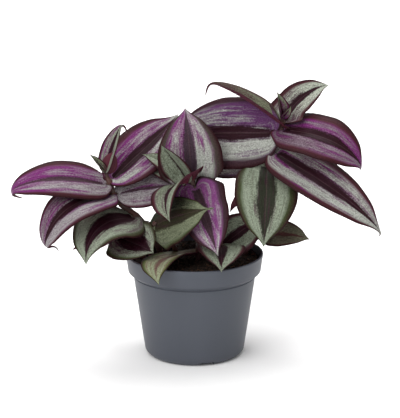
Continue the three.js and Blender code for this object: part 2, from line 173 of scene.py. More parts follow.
def times(first, second, clamp=False):
    """The product of two values."""
    return maths("MULTIPLY", first, second, clamp=clamp)


def minus(first, second):
    """The first value less the second."""
    return maths("SUBTRACT", first, second)


def graded(value, gain, shift, clamp=True):
    """The value times gain plus shift, kept between 0 and 1 unless clamp is off."""
    return maths("MULTIPLY_ADD", value, gain, shift, clamp=clamp)


def total(first, *others):
    """The sum of several values."""
    for other in others:
        first = maths("ADD", first, other)
    return first


print("helpers: maths, times, minus, graded, total")

# %% Colour, noise and relief
def mixed(share, first, second):
    """The first colour where share is 0, and the second where it is 1."""
    return add("ShaderNodeMix", {0: share, 6: first, 7: second}, data_type="RGBA").outputs[2]


def object_places():
    """Where a point lies on its object, in metres."""
    return add("ShaderNodeTexCoord").outputs["Object"]


def cloudy(places, scale=1.0, detail=2.0):
    """Soft noise between 0 and 1."""
    return add("ShaderNodeTexNoise", {"Vector": places, "Scale": scale, "Detail": detail}).outputs["Fac"]


def coloured(tone):
    """Gives the surface its colour."""
    tree.links.new(tone, shader.inputs["Base Color"])


def raised(height, strength, depth):
    """Makes the surface look raised where height is large."""
    made = add("ShaderNodeBump", {"Height": height, "Strength": strength, "Distance": depth})
    tree.links.new(made.outputs["Normal"], shader.inputs["Normal"])


print("helpers: mixed, object_places, cloudy, coloured, raised")

# %% [markdown]
# ## The floor
#
# The plant stands on a plain pale floor. It is far larger than the picture, so that its edge never
# shows, and it throws some light back up under the leaves, as a white table does. A backdrop that
# curves up behind the plant would do too, but a flat floor is simpler and gives the same soft shadow.

# %% Lay the floor
FLOOR_SIDE = 14.0
FLOOR_GAP = 0.0002

pale_floor = finish("pale_floor", 0.9, 0.1)
coloured(mixed(cloudy(object_places(), 40.0), (0.93, 0.93, 0.93, 1), (0.96, 0.96, 0.955, 1)))
bpy.ops.mesh.primitive_plane_add(size=FLOOR_SIDE, location=(0, 0, cad_low.z - FLOOR_GAP))
floor = bpy.context.object
floor.name = "floor"
floor.data.materials.append(pale_floor)
print("floor side in m:", FLOOR_SIDE)

# %% [markdown]
# ## The leaf's face
#
# A tradescantia leaf is striped along its length: a dark band down the middle with a fine rib in it,
# a silvery band on each side, and a dark margin. The silver comes from air under the skin. It breaks
# up into long flecks with the dark ground between them, and violet shows through it, most of all
# along the band's edges. The violet stops short of the tip. An image could hold this, but it would
# be blurred close up. A net of nodes stays sharp: it is drawn from two numbers that each blade
# carries as a UV map, how far along the leaf a point lies and how far across. What differs from leaf
# to leaf, such as tones and band widths, is stored on the blade's own points. The weights of the
# noises were set one by one.

# %% The places and noises on a blade
SEED_STRIDE = 7.3


def leaf_places():
    """The numbers that a blade carries: along, across, and distance from the midrib."""
    uv = add("ShaderNodeUVMap", uv_map="leaf").outputs["UV"]
    split = add("ShaderNodeSeparateXYZ", {"Vector": uv})
    along, across = split.outputs["X"], split.outputs["Y"]
    return along, across, maths("ABSOLUTE", across)


def stored(name, output="Fac"):
    """What is stored on the blade's points under a name."""
    return add("ShaderNodeAttribute", attribute_name=name).outputs[output]


def tone(name):
    """The colour that is stored under a name."""
    return stored(name, "Color")


def streaks(along, across, seed, along_scale, across_scale, detail=2.0):
    """Noise drawn out along the leaf."""
    place = add("ShaderNodeCombineXYZ", {
        "X": times(along, along_scale), "Y": times(across, across_scale), "Z": times(seed, SEED_STRIDE)})
    return cloudy(place.outputs["Vector"], 1.0, detail)


def centred(value, gain):
    """Noise moved to lie round 0, and strengthened."""
    return times(minus(value, 0.5), gain)


print("helpers: leaf_places, stored, tone, streaks, centred")

# %% The upper side's noises and its three zones
# How sharp the edges of the stripe and of the margin are.
STRIPE_EDGE = 11.0
MARGIN_EDGE = 7.5
GRAIN_SCALE = 1400.0

leaf_face = finish("leaf_face", 0.48, 0.06)
along, across, off = leaf_places()
seed = stored("seed")
broad = streaks(along, across, seed, 2.6, 5.5, 3.0)
fleck = streaks(along, across, seed, 6.0, 15.0, 3.0)
hair = streaks(along, across, seed, 11.0, 38.0)
line = streaks(along, across, total(seed, 3.1), 3.5, 24.0)
grain = cloudy(object_places(), GRAIN_SCALE)

place = total(off, centred(broad, 0.10), centred(fleck, 0.16), centred(grain, 0.10))
stripe = stored("stripe")
margin = stored("margin")
rim_start = minus(1.0, margin)
in_stripe = graded(minus(stripe, place), STRIPE_EDGE, 0.5)
in_margin = graded(minus(place, rim_start), MARGIN_EDGE, 0.5)
print("zones: stripe, band, margin")

# %% The band's silver and violet
VIOLET_GAIN = 1.7
EDGE_WISH = 0.27
TIP_FROM = 0.88
LINE_GAIN = 2.6

# The silver breaks up into flecks with the ground between them.
shine = total(stored("silver"), centred(broad, 1.0), centred(fleck, 1.3), centred(hair, 0.7),
              centred(grain, 1.1))
band = mixed(graded(shine, 1.0, -0.05), tone("ground"), tone("band"))

# The violet lies in patches, most of all along the two edges of a band, and fades before the tip.
band_place = maths("DIVIDE", minus(off, stripe), minus(rim_start, stripe))
near_edge = maths("ABSOLUTE", graded(band_place, 2.0, -1.0, clamp=False))
mottle = total(0.5, centred(broad, 2.1), centred(fleck, 0.7), centred(hair, 0.4), centred(grain, 0.4))
at_tip = times(minus(along, TIP_FROM), 10.0, clamp=True)
wish = total(stored("violet"), times(maths("POWER", near_edge, 3.0), EDGE_WISH), -0.11,
             times(at_tip, -0.42))
is_violet = graded(minus(wish, mottle), VIOLET_GAIN, 0.5)
band = mixed(times(is_violet, 0.97), band, tone("bloom"))

# Thin silver lines run through the violet, and thin dark ones through the silver.
lines = total(line, fleck)
band = mixed(times(graded(lines, LINE_GAIN, -2.7), 0.42), band, tone("band"))
band = mixed(times(graded(lines, -LINE_GAIN, 2.2), 0.34), band, tone("ground"))
print("the band holds flecks, violet and lines")

# %% The stripe, the margin and the whole face
RIB_TONE = (0.075, 0.045, 0.048, 1)
MARGIN_DARK = (0.025, 0.007, 0.009, 1)
STRIPE_PALE = (0.036, 0.013, 0.022, 1)
VEINS = 50.0

stripe_tone = mixed(graded(fleck, 3.0, -1.45), tone("core"), STRIPE_PALE)
rib = graded(off, -40.0, 1.0)
stripe_tone = mixed(times(rib, 0.5), stripe_tone, RIB_TONE)
out_share = maths("DIVIDE", minus(off, rim_start), margin, clamp=True)
margin_tone = mixed(times(out_share, 1.15, clamp=True), tone("edge"), MARGIN_DARK)
face = mixed(in_margin, mixed(in_stripe, band, stripe_tone), margin_tone)
# Fine grain scales the whole colour up and down in tiny spots. This is partly the cells' own grain and
# partly painted glitter, standing in for the highlights on the cells.
grain_and_painted_glitter = graded(grain, 1.5, 0.25, clamp=False)
coloured(add("ShaderNodeVectorMath", {0: face, "Scale": grain_and_painted_glitter}, operation="SCALE").outputs[0])
raised(total(times(maths("SINE", times(off, VEINS)), 0.25), fleck, grain), 0.35, 0.0003)
print("leaf face nodes:", len(tree.nodes))

# %% [markdown]
# ## The leaf's back
#
# The back of the leaf is plain deep maroon, with the veins a little paler and no silver. Leaving both
# sides alike would look wrong wherever a leaf turns over, as some do near their tips.

# %% The under side's material
MAROON = (0.060, 0.008, 0.018, 1)
MAROON_PALE = (0.120, 0.030, 0.045, 1)

leaf_back = finish("leaf_back", 0.48, 0.15)
along, across, off = leaf_places()
seed = stored("seed")
fine = streaks(along, across, seed, 4.0, 50.0, 3.0)
vein = graded(total(fine, streaks(along, across, seed, 2.0, 9.0)), 1.2, -0.8)
coloured(mixed(vein, MAROON, MAROON_PALE))
raised(fine, 0.4, 0.0003)
print("leaf back nodes:", len(tree.nodes))

# %% [markdown]
# ## Stems and sheaths
#
# The stems are brown-violet and juicy, and streaked along their length. Each leaf starts in a sheath,
# a thin collar with dull red and pale stripes. One colour each would look like plastic, so both get
# streaks, from one function with other tones.

# %% The stem and sheath materials
STEM_DARK = (0.060, 0.024, 0.020, 1)
STEM_LIGHT = (0.095, 0.042, 0.034, 1)
SHEATH_RED = (0.052, 0.009, 0.019, 1)
SHEATH_PALE = (0.090, 0.070, 0.052, 1)
STREAK_GAIN = 3.0


def streaked(name, dark, pale, roughness):
    """A juicy skin, streaked along its length."""
    material = finish(name, roughness, 0.2)
    along, across, _ = leaf_places()
    lines = streaks(along, across, stored("seed"), 1.5, 9.0, 3.0)
    coloured(mixed(graded(lines, STREAK_GAIN, 0.5 - STREAK_GAIN / 2), dark, pale))
    raised(lines, 0.4, 0.0002)
    return material


stem_skin = streaked("stem_skin", STEM_DARK, STEM_LIGHT, 0.42)
sheath_skin = streaked("sheath_skin", SHEATH_RED, SHEATH_PALE, 0.45)
print("materials:", stem_skin.name, sheath_skin.name)

# %% [markdown]
# ## From points to pieces
#
# Every piece of the plant is a sheet or a tube of points in rows. A patch holds such points, the
# faces between them, and what is stored on the points. Several patches can make one piece, so that
# a bud stays one thing with all its young leaves. A leaf could also be pulled out of a plane by hand,
# but rows of points keep to the measures, and one function makes all of them.

# %% Points and faces
def mm(*values):
    """Millimetres as metres."""
    return tuple(v / 1000 for v in values)


def unit(v):
    """The same direction with length 1."""
    v = np.asarray(v, float)
    return v / np.maximum(np.linalg.norm(v, axis=-1, keepdims=True), 1e-12)


def run_lengths(points):
    """How far along a row of points each one lies."""
    return np.concatenate([[0], np.cumsum(np.linalg.norm(np.diff(points, axis=0), axis=1))])


def grid_faces(rows, columns, start=0, ring=False):
    """The four-cornered faces between rows of points."""
    faces = []
    for i in range(rows - 1):
        for j in range(columns if ring else columns - 1):
            k = (j + 1) % columns
            faces.append((start + i * columns + j, start + i * columns + k,
                          start + (i + 1) * columns + k, start + (i + 1) * columns + j))
    return faces


def end_faces(rows, columns, start=0):
    """The two faces that close a tube of rings."""
    last = start + (rows - 1) * columns
    return [tuple(range(start + columns - 1, start - 1, -1)), tuple(range(last, last + columns))]


print("helpers: mm, unit, run_lengths, grid_faces, end_faces")

# %% From patches to a piece
TONES = ("band", "ground", "core", "edge", "bloom")
NUMBERS = ("stripe", "margin", "violet", "silver", "seed")
NO_TONE = (0.2, 0.2, 0.2)


def placed(name, points, faces):
    """A new object with these points and faces."""
    mesh = bpy.data.meshes.new(name)
    mesh.from_pydata([tuple(p) for p in points], [], faces)
    made = bpy.data.objects.new(name, mesh)
    collection.objects.link(made)
    return made


def smoothed(made):
    """Lets the light run smoothly over the faces."""
    made.data.polygons.foreach_set("use_smooth", [True] * len(made.data.polygons))


def grown(name, patches, materials, node):
    """One piece from its patches. It stands for a CAD node."""
    faces, start = [], 0
    values = {key: [] for key in TONES + NUMBERS}
    for patch in patches:
        count = len(patch["points"])
        faces += [tuple(start + i for i in face) for face in patch["faces"]]
        start += count
        for key in TONES:
            values[key].append(np.tile((*patch["paint"].get(key, NO_TONE), 1.0), (count, 1)))
        for key in NUMBERS:
            values[key].append(np.broadcast_to(patch["paint"].get(key, 0.0), count))
    made = placed(name, np.concatenate([patch["points"] for patch in patches]), faces)
    mesh = made.data
    layer = mesh.uv_layers.new(name="leaf")
    corners = np.zeros(len(mesh.loops), int)
    mesh.loops.foreach_get("vertex_index", corners)
    layer.data.foreach_set("uv", np.concatenate([patch["uv"] for patch in patches])[corners].ravel())
    for key in TONES:
        stored_tones = mesh.attributes.new(key, "FLOAT_COLOR", "POINT")
        stored_tones.data.foreach_set("color", np.concatenate(values[key]).ravel())
    for key in NUMBERS:
        stored_numbers = mesh.attributes.new(key, "FLOAT", "POINT")
        stored_numbers.data.foreach_set("value", np.concatenate(values[key]))
    for material in materials:
        mesh.materials.append(material)
    mesh.polygons.foreach_set("material_index", [kind for patch in patches for kind in patch["kinds"]])
    smoothed(made)
    mesh.update()
    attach(made, "root")
    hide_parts(node)


print("helpers: placed, smoothed, grown")

# %% [markdown]
# ## The stems
#
# Cut pieces of stem were pushed into the soil and grew on, so several stems arch out of one pot. Each
# one runs through a few points, from the soil up, as a smooth curve. A curve object with a bevel would
# do, but a tube of rings lets the skin swell a little at each joint, where a leaf grows. Each row
# gives a stem's name, its radius below and above, and its points, all in millimetres.

# %% The stems' routes
STEM_STEPS = 24
stem_radii, routes = {}, {}


def smooth_route(points, steps):
    """A smooth curve through the points, as many steps between each two."""
    p = np.array(points, float)
    p = np.vstack([2 * p[0] - p[1], p, 2 * p[-1] - p[-2]])
    route = []
    for a, b, c, d in zip(p, p[1:], p[2:], p[3:]):
        for t in np.arange(steps) / steps:
            route.append(0.5 * (2 * b + (c - a) * t + (2 * a - 5 * b + 4 * c - d) * t ** 2
                                + (3 * b - a - 3 * c + d) * t ** 3))
    route.append(p[-2])
    return np.array(route)


def add_stem(name, radii, *points):
    """Notes a stem down, in metres."""
    stem_radii[name] = mm(*radii)
    routes[name] = smooth_route([mm(*p) for p in points], STEM_STEPS)


add_stem("left", (2.2, 1.5), (-19, 2, 56), (-25, -1, 76), (-32, -4, 87), (-39, -5, 95), (-47, -7, 102),
         (-52, -10, 109), (-54, -12, 117), (-56, -11, 121))
add_stem("middle", (2.2, 1.6), (2, -2, 54), (3, -2, 77), (3, -4, 97), (1, -8, 110), (-2, -9, 118),
         (-3, -9.5, 123))
add_stem("right", (2.4, 1.6), (31, 10, 54), (36, 9, 80), (42, 5, 105), (47, 1, 126), (52, -2, 141),
         (56, -3, 156))
add_stem("inner", (1.8, 1.4), (-8, 4, 55), (-15, -4, 76), (-26, -18, 93))
add_stem("front", (1.8, 1.4), (11, -7, 56), (14, -9, 70), (18, -10, 77))
add_stem("low_left", (1.8, 1.4), (-28, -6, 58), (-38, -13, 75), (-47, -15, 83), (-52, -15, 86))
add_stem("low_right", (1.8, 1.4), (25, 12, 57), (37, 15, 70), (47, 13, 77))


def stem_at(name, height):
    """The route's step at a height, and the point, direction and radius there."""
    route = routes[name]
    step = int(np.argmin(np.abs(route[:, 2] - height)))
    before, after = route[max(step - 1, 0)], route[min(step + 1, len(route) - 1)]
    thick, thin = stem_radii[name]
    return step, route[step], unit(after - before), thick + (thin - thick) * step / (len(route) - 1)


for name, route in routes.items():
    print(name, "stem", round(1000 * run_lengths(route)[-1]), "mm long")

# %% [markdown]
# ## The leaves' shapes
#
# Each row places one leaf, in millimetres and degrees. It gives the leaf's name and stem, the height
# where it grows, where its tip is, its width, and how far its midrib bows up near each end. Then
# comes the way that its upper side looks, the fold that opens its halves as a V, and the curl that
# turns its margins down. Some leaves need more: out is the side of the stem they grow from, sway
# bends the midrib sideways, hook turns the tip under, and widest says where the leaf is broadest.
#
# A foot has three numbers. The first is how broad the leaf still is where it starts, because many
# are heart-shaped there. The second is how far the two lobes of the heart reach back past the stem,
# and the third is the length of a heel, where the leaf begins further down. Some leaves end in a
# thin curled tail: how far it reaches past the tip, how far it turns, and how much it narrows. One
# dictionary of numbers a leaf could hold all this, but a short row is easier to change by hand.

# %% The left shoot's leaves
LEAVES = {}


def shape(tip, width, bow, face, fold, curl, sway=(0, 0), hook=0, widest=0.36, foot=(0.25, 2, 0),
          tail=None):
    """A blade's shape, in metres."""
    return dict(tip=mm(*tip), width=width / 1000, bow=mm(*bow), face=face, fold=fold, curl=curl,
                sway=mm(*sway), hook=hook, widest=widest, foot=(foot[0], *mm(*foot[1:])),
                tail=tail and (tail[0] / 1000, *tail[1:]))


def leaf(name, stem, height, *numbers, out=None, **more):
    """Notes a leaf down, with its place on its stem."""
    LEAVES[name] = dict(shape(*numbers, **more), stem=stem, height=height / 1000, out=out)


leaf("left_leaf_1", "left", 117, (-121, -33, 115), 32, (10, 19), (-0.1, -0.62, 0.78), 14, 30,
     out=(-1, -0.3, 0), hook=120, foot=(0.3, 2.5, 0), tail=(4.5, 20, 0.45))
leaf("left_leaf_2", "left", 110, (-96, -38, 77), 31, (19, 34), (-0.45, -0.75, 0.45), 14, 25,
     out=(-1, -0.5, 0), hook=110, foot=(0.35, 2.5, 0), tail=(8.5, -60, 0.6))
leaf("left_leaf_3", "left", 118.5, (-11, 39, 151.5), 36, (4, -0.5), (-0.2, -0.85, 0.4), 8, 6,
     out=(0.4, 0.9, 0), sway=(1, 2), widest=0.46, foot=(0.4, 3.5, 0))
leaf("left_leaf_4", "left", 108, (-8, 6, 112), 26, (3, 3), (0, -0.8, 0.6), 8, 15, out=(1, 0.4, 0))
leaf("left_leaf_5", "left", 102, (-76, 34, 78), 28, (10, 12), (-0.2, 0.5, 0.9), 8, 20, out=(0.4, 0.9, 0))
leaf("left_leaf_6", "left", 115, (-86, 36, 100), 28, (10, 12), (-0.2, 0.5, 0.9), 8, 20)
leaf("left_leaf_7", "left", 75, (-36, 56, 56), 30, (14, 20), (-0.1, 0.5, 0.9), 8, 20, out=(-0.5, 1, 0))
leaf("left_leaf_8", "left", 94, (-68, -47, 73.5), 42, (13, 19), (-0.5, -0.85, 0.5), 8, 19,
     out=(-0.8, -0.6, 0), sway=(0.5, 9), foot=(0.18, 2.5, 0))
print("leaves so far:", len(LEAVES))

# %% The middle shoot's leaves
leaf("middle_leaf_1", "middle", 118.5, (-6, 9, 162), 42, (7.5, 9), (0.03, -1, 0.2), 8, 17, out=(0.3, 1, 0),
     widest=0.3, foot=(0.4, 8.5, 0))
leaf("middle_leaf_2", "middle", 120.5, (-21, -16, 143.5), 23, (-1, -1), (-0.45, -0.85, -0.3), 26, 8,
     out=(-0.9, -0.4, 0), sway=(-0.5, 0), foot=(0.4, 3, 0))
leaf("middle_leaf_3", "middle", 118, (-15, -49, 102), 30, (12, 14), (-0.75, -0.6, 0.5), 20, 15,
     out=(-0.4, -0.9, 0), sway=(-1, 3), foot=(0.68, 4.5, 2))
leaf("middle_leaf_4", "middle", 113.5, (15, -43, 78), 33, (-1, 5.5), (-0.05, -0.95, 0.35), 8, 19,
     out=(0.4, -0.9, 0), widest=0.33, foot=(0.7, 6, 0))
leaf("middle_leaf_5", "middle", 101, (-6, 60, 78), 34, (11, 13), (0, 0.5, 0.9), 8, 20, out=(0.5, 0.9, 0))
leaf("middle_leaf_6", "middle", 84, (12, 58, 66), 28, (12, 16), (0.1, 0.5, 0.9), 8, 20, out=(0, 1, 0))
print("leaves so far:", len(LEAVES))

# %% The right shoot's leaves
leaf("right_leaf_1", "right", 148, (-16, 36, 138), 48, (5, 6), (-0.05, -0.92, 0.38), 5, 15,
     out=(-0.9, -0.4, 0), widest=0.42, foot=(0.5, 4.5, 0))
leaf("right_leaf_2", "right", 151, (108, -20, 128), 36, (12, 21), (0.1, -0.65, 0.75), 12, 25,
     out=(1, -0.6, 0), hook=30, widest=0.42, foot=(0.6, 6, 0))
leaf("right_leaf_3", "right", 137, (120, -40, 90), 34, (6, 20), (0.15, -0.7, 0.7), 10, 18, out=(0.3, -1, 0),
     sway=(1, 3), hook=20, foot=(0.4, 2, 0), tail=(0, 60, 0.72))
leaf("right_leaf_4", "right", 126, (44, -32, 81), 41, (14, 14), (0, -0.9, 0.4), 8, 25, out=(0, -1, 0),
     widest=0.4, foot=(0.5, 3.5, 0))
leaf("right_leaf_5", "right", 155, (5.5, 4, 181), 22, (3, 5), (0.5, -0.1, 0.85), 30, 9, out=(-1, 0, 0),
     hook=120, foot=(0.25, 2, 9), tail=(3, 15, 0.45))
leaf("right_leaf_6", "right", 155, (86.5, 8, 178), 25, (0, 1), (-0.5, -0.75, 0.4), 20, 10, out=(1, 1, 0),
     sway=(-8, -6), hook=40, foot=(0.95, 1.5, 0))
leaf("right_leaf_7", "right", 125, (-3, 30, 117), 24, (2, 2), (-0.05, -0.6, 0.8), 5, 15, out=(-0.8, 1, 0))
leaf("right_leaf_8", "right", 106, (23, 3, 94), 20, (1, 2), (0, 0.45, 0.9), 20, 10)
leaf("right_leaf_9", "right", 118, (88, 50, 92), 32, (12, 12), (0.3, 0.4, 0.9), 8, 20)
leaf("right_leaf_10", "right", 109, (44, 66, 80), 32, (12, 14), (-0.1, 0.5, 0.9), 8, 20)
leaf("right_leaf_11", "right", 81, (46, 64, 56), 30, (12, 18), (0.1, 0.5, 0.9), 8, 20)
print("leaves so far:", len(LEAVES))

# %% The short shoots' leaves
leaf("inner_leaf_1", "inner", 92.5, (10.5, -43, 109), 34, (6.5, 4.5), (-0.1, -0.85, 0.55), -20, 6,
     out=(0.4, -0.9, 0), widest=0.28, foot=(0.55, 4.5, 2), tail=(1.5, 0, 0.8))
leaf("front_leaf_1", "front", 75, (17, -48, 69), 32, (7, 8), (0.05, -0.45, 0.88), 12, 15, out=(0, -1, 0),
     foot=(0.4, 3, 0))
leaf("front_leaf_2", "front", 76, (43, 2, 89), 27, (5, 8), (0.1, -0.8, 0.6), 12, 15, out=(1, 0.6, 0),
     foot=(0.4, 3, 0))
leaf("front_leaf_3", "middle", 68, (-22, -59, 64), 31, (5, 15), (-0.15, 0.1, 0.95), 14, 10,
     out=(-0.4, -0.9, 0), sway=(5, 14), foot=(0.45, 5, 0))
leaf("low_left_leaf_1", "low_left", 86, (-78, -22, 76), 22, (2, 2), (0, 0.6, 0.5), 5, 10)
leaf("low_left_leaf_2", "low_left", 82, (-26, -32, 76.5), 37, (1.5, 2.5), (0, -0.55, 0.7), 12, 10,
     out=(0, -1, 0), sway=(1, 0), foot=(0.5, 5, 0))
leaf("low_right_leaf_1", "low_right", 77, (75, -2, 77), 20, (5, 5), (0, -0.7, 0.7), 12, 15,
     out=(1, -0.8, 0))
print("leaves in all:", len(LEAVES))

# %% [markdown]
# ## The leaves' colours
#
# No two leaves are painted alike. Leaves that stood in bright light are violet, and those lower down
# are greener with wider bands. Shifting one paint's hue by chance would be quick, but real leaves
# differ in more than hue. So there are two sets of tones to start from, SUNNY and SHADY, and a leaf
# names only what it changes. How silvery and how violet a leaf is can be one number, two for its
# base and tip, or four for base and tip of each half, so that the colour can fade along the leaf and
# differ between its halves. The stripe's width, and one or two for the margins, come last.

# %% The tones
SILVER = (0.302, 0.312, 0.282)
BRIGHT_SILVER = (0.335, 0.362, 0.300)
LILAC_SILVER = (0.246, 0.226, 0.232)
DULL_LILAC = (0.165, 0.122, 0.150)
SILVER_GREEN = (0.212, 0.243, 0.184)
PALE_GREEN = (0.175, 0.205, 0.130)
LEAF_GREEN = (0.092, 0.125, 0.038)
FRESH_GREEN = (0.138, 0.155, 0.098)
DARK_OLIVE = (0.026, 0.024, 0.013)
OLIVE = (0.125, 0.122, 0.080)
YELLOW_GREEN = (0.215, 0.240, 0.150)
PINK_BROWN = (0.130, 0.072, 0.058)
RED_BROWN = (0.075, 0.032, 0.028)
DARK_WINE = (0.016, 0.003, 0.006)
DARK_MAROON = (0.040, 0.009, 0.015)
DARK_GREEN = (0.020, 0.022, 0.014)
DARK_GREY = (0.043, 0.022, 0.031)
GREY_PLUM = (0.041, 0.025, 0.035)
GREEN_EDGE = (0.045, 0.062, 0.024)
OLIVE_EDGE = (0.060, 0.052, 0.044)
BROWN_EDGE = (0.055, 0.013, 0.019)
MAGENTA = (0.132, 0.015, 0.112)
BRIGHT_MAGENTA = (0.180, 0.045, 0.165)
VIOLET = (0.088, 0.026, 0.094)
DULL_PLUM = (0.075, 0.036, 0.055)
PLUM_GROUND = (0.045, 0.010, 0.026)
GREEN_GROUND = (0.070, 0.078, 0.048)

SUNNY = dict(band=SILVER, ground=PLUM_GROUND, core=DARK_WINE, edge=BROWN_EDGE, bloom=MAGENTA)
SHADY = dict(band=SILVER_GREEN, ground=GREEN_GROUND, core=DARK_WINE, edge=BROWN_EDGE, bloom=DULL_PLUM)
print("tones to start from:", ", ".join(SUNNY))

# %% Which leaf wears what
def four(value):
    """One number, or one for base and tip, as four corners."""
    value = np.atleast_1d(value)
    return np.tile(value, 4 // len(value))


def paint(tones, silver, violet, stripe, margin, **changed):
    """What one leaf wears."""
    return dict(tones, silver=four(silver), violet=four(violet), stripe=stripe,
                margin=np.repeat(margin, 4 // np.size(margin)), **changed)


plain_violet = paint(SUNNY, 0.9, 0.55, 0.18, 0.17)
plain_green = paint(SHADY, 0.9, (0.2, 0.1), 0.24, 0.17, edge=GREEN_EDGE)
PAINT_OF = {
    "left_leaf_1": paint(SUNNY, (0.85, 0.9, 0.8, 0.9), (0.22, 0.78, 0.6, 1), 0.13, (0.22, 0.32),
        band=LILAC_SILVER, core=DARK_GREY),
    "left_leaf_2": paint(SUNNY, (0.9, 1, 0.2, 0.6), (0.45, 0.12, 0.55, 0.3), 0.26, 0.18, band=LILAC_SILVER),
    "left_leaf_3": paint(SUNNY, (0.6, 1, 0.9, 0.9), (0.95, 0.45, 0.55, 0.45), 0.24, (0.26, 0.2)),
    "left_leaf_4": paint(SUNNY, (0.9, 0.8), (0.2, 0.35, 0.25, 0.35), 0.07, (0.15, 0.14), band=LILAC_SILVER,
        core=DARK_GREY),
    "left_leaf_8": paint(SHADY, (0.6, 1.1, 0.8, 1.1), (0.45, 0, 0.15, 0), 0.32, 0.2, ground=PLUM_GROUND,
        edge=GREEN_EDGE),
    "middle_leaf_1": paint(SUNNY, (0.9, 0.9, 1, 0.9), (0.25, 1, 0.05, 0.66), 0.2, (0.26, 0.29),
        core=GREY_PLUM, edge=OLIVE_EDGE),
    "middle_leaf_2": paint(SHADY, (0.7, 0.6, 0.9, 0.9), 0.05, 0.07, (0.18, 0.16)),
    "middle_leaf_3": paint(SHADY, (0.6, 0.9, 0.3, 0.6), (0.1, 0.1, 0.3, 0.3), 0.15, (0.22, 0.25)),
    # One half has no silver at its base, so it shows dark ground where the leaf above shades it: painted
    # shade.
    "middle_leaf_4": paint(SUNNY, (0.9, 1, 0, 1), (0.95, 0.62, 0.75, 0.7), 0.22, (0.3, 0.26),
        core=DARK_GREY, edge=DARK_GREY, bloom=BRIGHT_MAGENTA),
    "right_leaf_1": paint(SUNNY, (1, 1, 0.6, 1), (0.16, 0.26, 0.92, 0.36), 0.22, (0.26, 0.18),
        edge=DARK_GREY, bloom=VIOLET),
    "right_leaf_2": paint(SUNNY, (0.6, 0.7, 0.4, 1), (0.45, 0.88, 0.28, 0.38), 0.25, (0.38, 0.23),
        band=DULL_LILAC),
    "right_leaf_3": paint(SUNNY, (0.5, 0.8, 0.9, 0.9), (0.45, 0.22, 0.3, 0.26), 0.28, (0.26, 0.24)),
    "right_leaf_4": paint(SHADY, (0.9, 0.9, 0.8, 0.9), 0, 0.3, (0.3, 0.24), core=DARK_GREEN,
        edge=GREEN_EDGE),
    "right_leaf_5": paint(SHADY, (0.6, -0.4, 1.1, 0.05), (0.5, 0, 0, 0), 0.05, (0.16, 0.12),
        band=FRESH_GREEN, ground=DARK_MAROON),
    "right_leaf_6": paint(SUNNY, (0.4, 1.1, 0.2, 1.1), (0.2, 0.1, 0.1, 0), 0.24, (0.26, 0.2),
        band=BRIGHT_SILVER, bloom=DULL_PLUM),
    "right_leaf_7": paint(SUNNY, 0.4, 0.3, 0.2, 0.22, edge=DARK_GREY, bloom=VIOLET),
    # Its upper half has no silver near the base, so only the dark green ground shows there. This is partly
    # its own darker green and partly painted shade from the leaves above it.
    "inner_leaf_1": paint(SHADY, (-0.9, 1.4, 0.8, 1.2), 0, 0.34, (0.12, 0.16), band=FRESH_GREEN,
        ground=DARK_GREEN, core=DARK_OLIVE, edge=GREEN_EDGE),
    "front_leaf_1": paint(SHADY, (0.7, 0.9, 0.7, 0.8), 0.1, 0.28, 0.16),
    "front_leaf_2": paint(SHADY, (0.8, 0.7), (0.2, 0), 0.26, 0.2),
    "front_leaf_3": paint(SUNNY, (0.4, 1, 0.4, 1.1), (0.75, 0.15, 0.65, 0.1), 0.16, 0.26, band=YELLOW_GREEN,
        ground=PINK_BROWN, core=PINK_BROWN, edge=LEAF_GREEN, bloom=PINK_BROWN),
    "low_left_leaf_2": paint(SHADY, (0.4, 0.9, 0.4, 0.8), (0.3, 0), 0.42, 0.18, ground=PLUM_GROUND,
        edge=GREEN_EDGE),
    "low_right_leaf_1": paint(SUNNY, (0.6, 0.9), (0.3, 0), 0.14, 0.16, band=OLIVE, ground=OLIVE_EDGE,
        core=RED_BROWN, edge=RED_BROWN, bloom=RED_BROWN),
}
for name in ("left_leaf_5", "left_leaf_6", "middle_leaf_5", "right_leaf_9"):
    PAINT_OF[name] = plain_violet

young = paint(SHADY, (0.7, 0.8), (0.3, 0.05), 0.2, 0.2, band=PALE_GREEN, ground=DARK_WINE)
blushing = paint(SUNNY, (0.1, 1), (0.8, 0), 0.18, 0.18, band=PALE_GREEN, ground=DARK_MAROON,
                 core=DARK_MAROON)
print("leaves that aren't plain green:", len(PAINT_OF))

# %% [markdown]
# ## One blade
#
# A blade could be a flat cut-out bent by modifiers, but then its midrib would wander. Here the midrib
# comes first, as a curve with a direction at each step. Across it lies a section, a shallow V with
# curved margins, scaled by the leaf's outline. Two such skins, half a millimetre apart and thinner at
# the edge, make a closed blade. Slow waves along the margins keep it from looking stamped. A heel
# adds steps below the base, and a tail takes the last steps' place.

# %% The midrib
ALONG = 44
CURVE_POINTS = 301
HOOK_FROM = 0.84
HOOK_POWER = 1.5
FIRST_PULL, SECOND_PULL = 0.30, 0.72


def turned(v, axis, angle):
    """A direction turned about an axis."""
    return (v * math.cos(angle) + np.cross(axis, v) * math.sin(angle)
            + axis * (axis @ v) * (1 - math.cos(angle)))


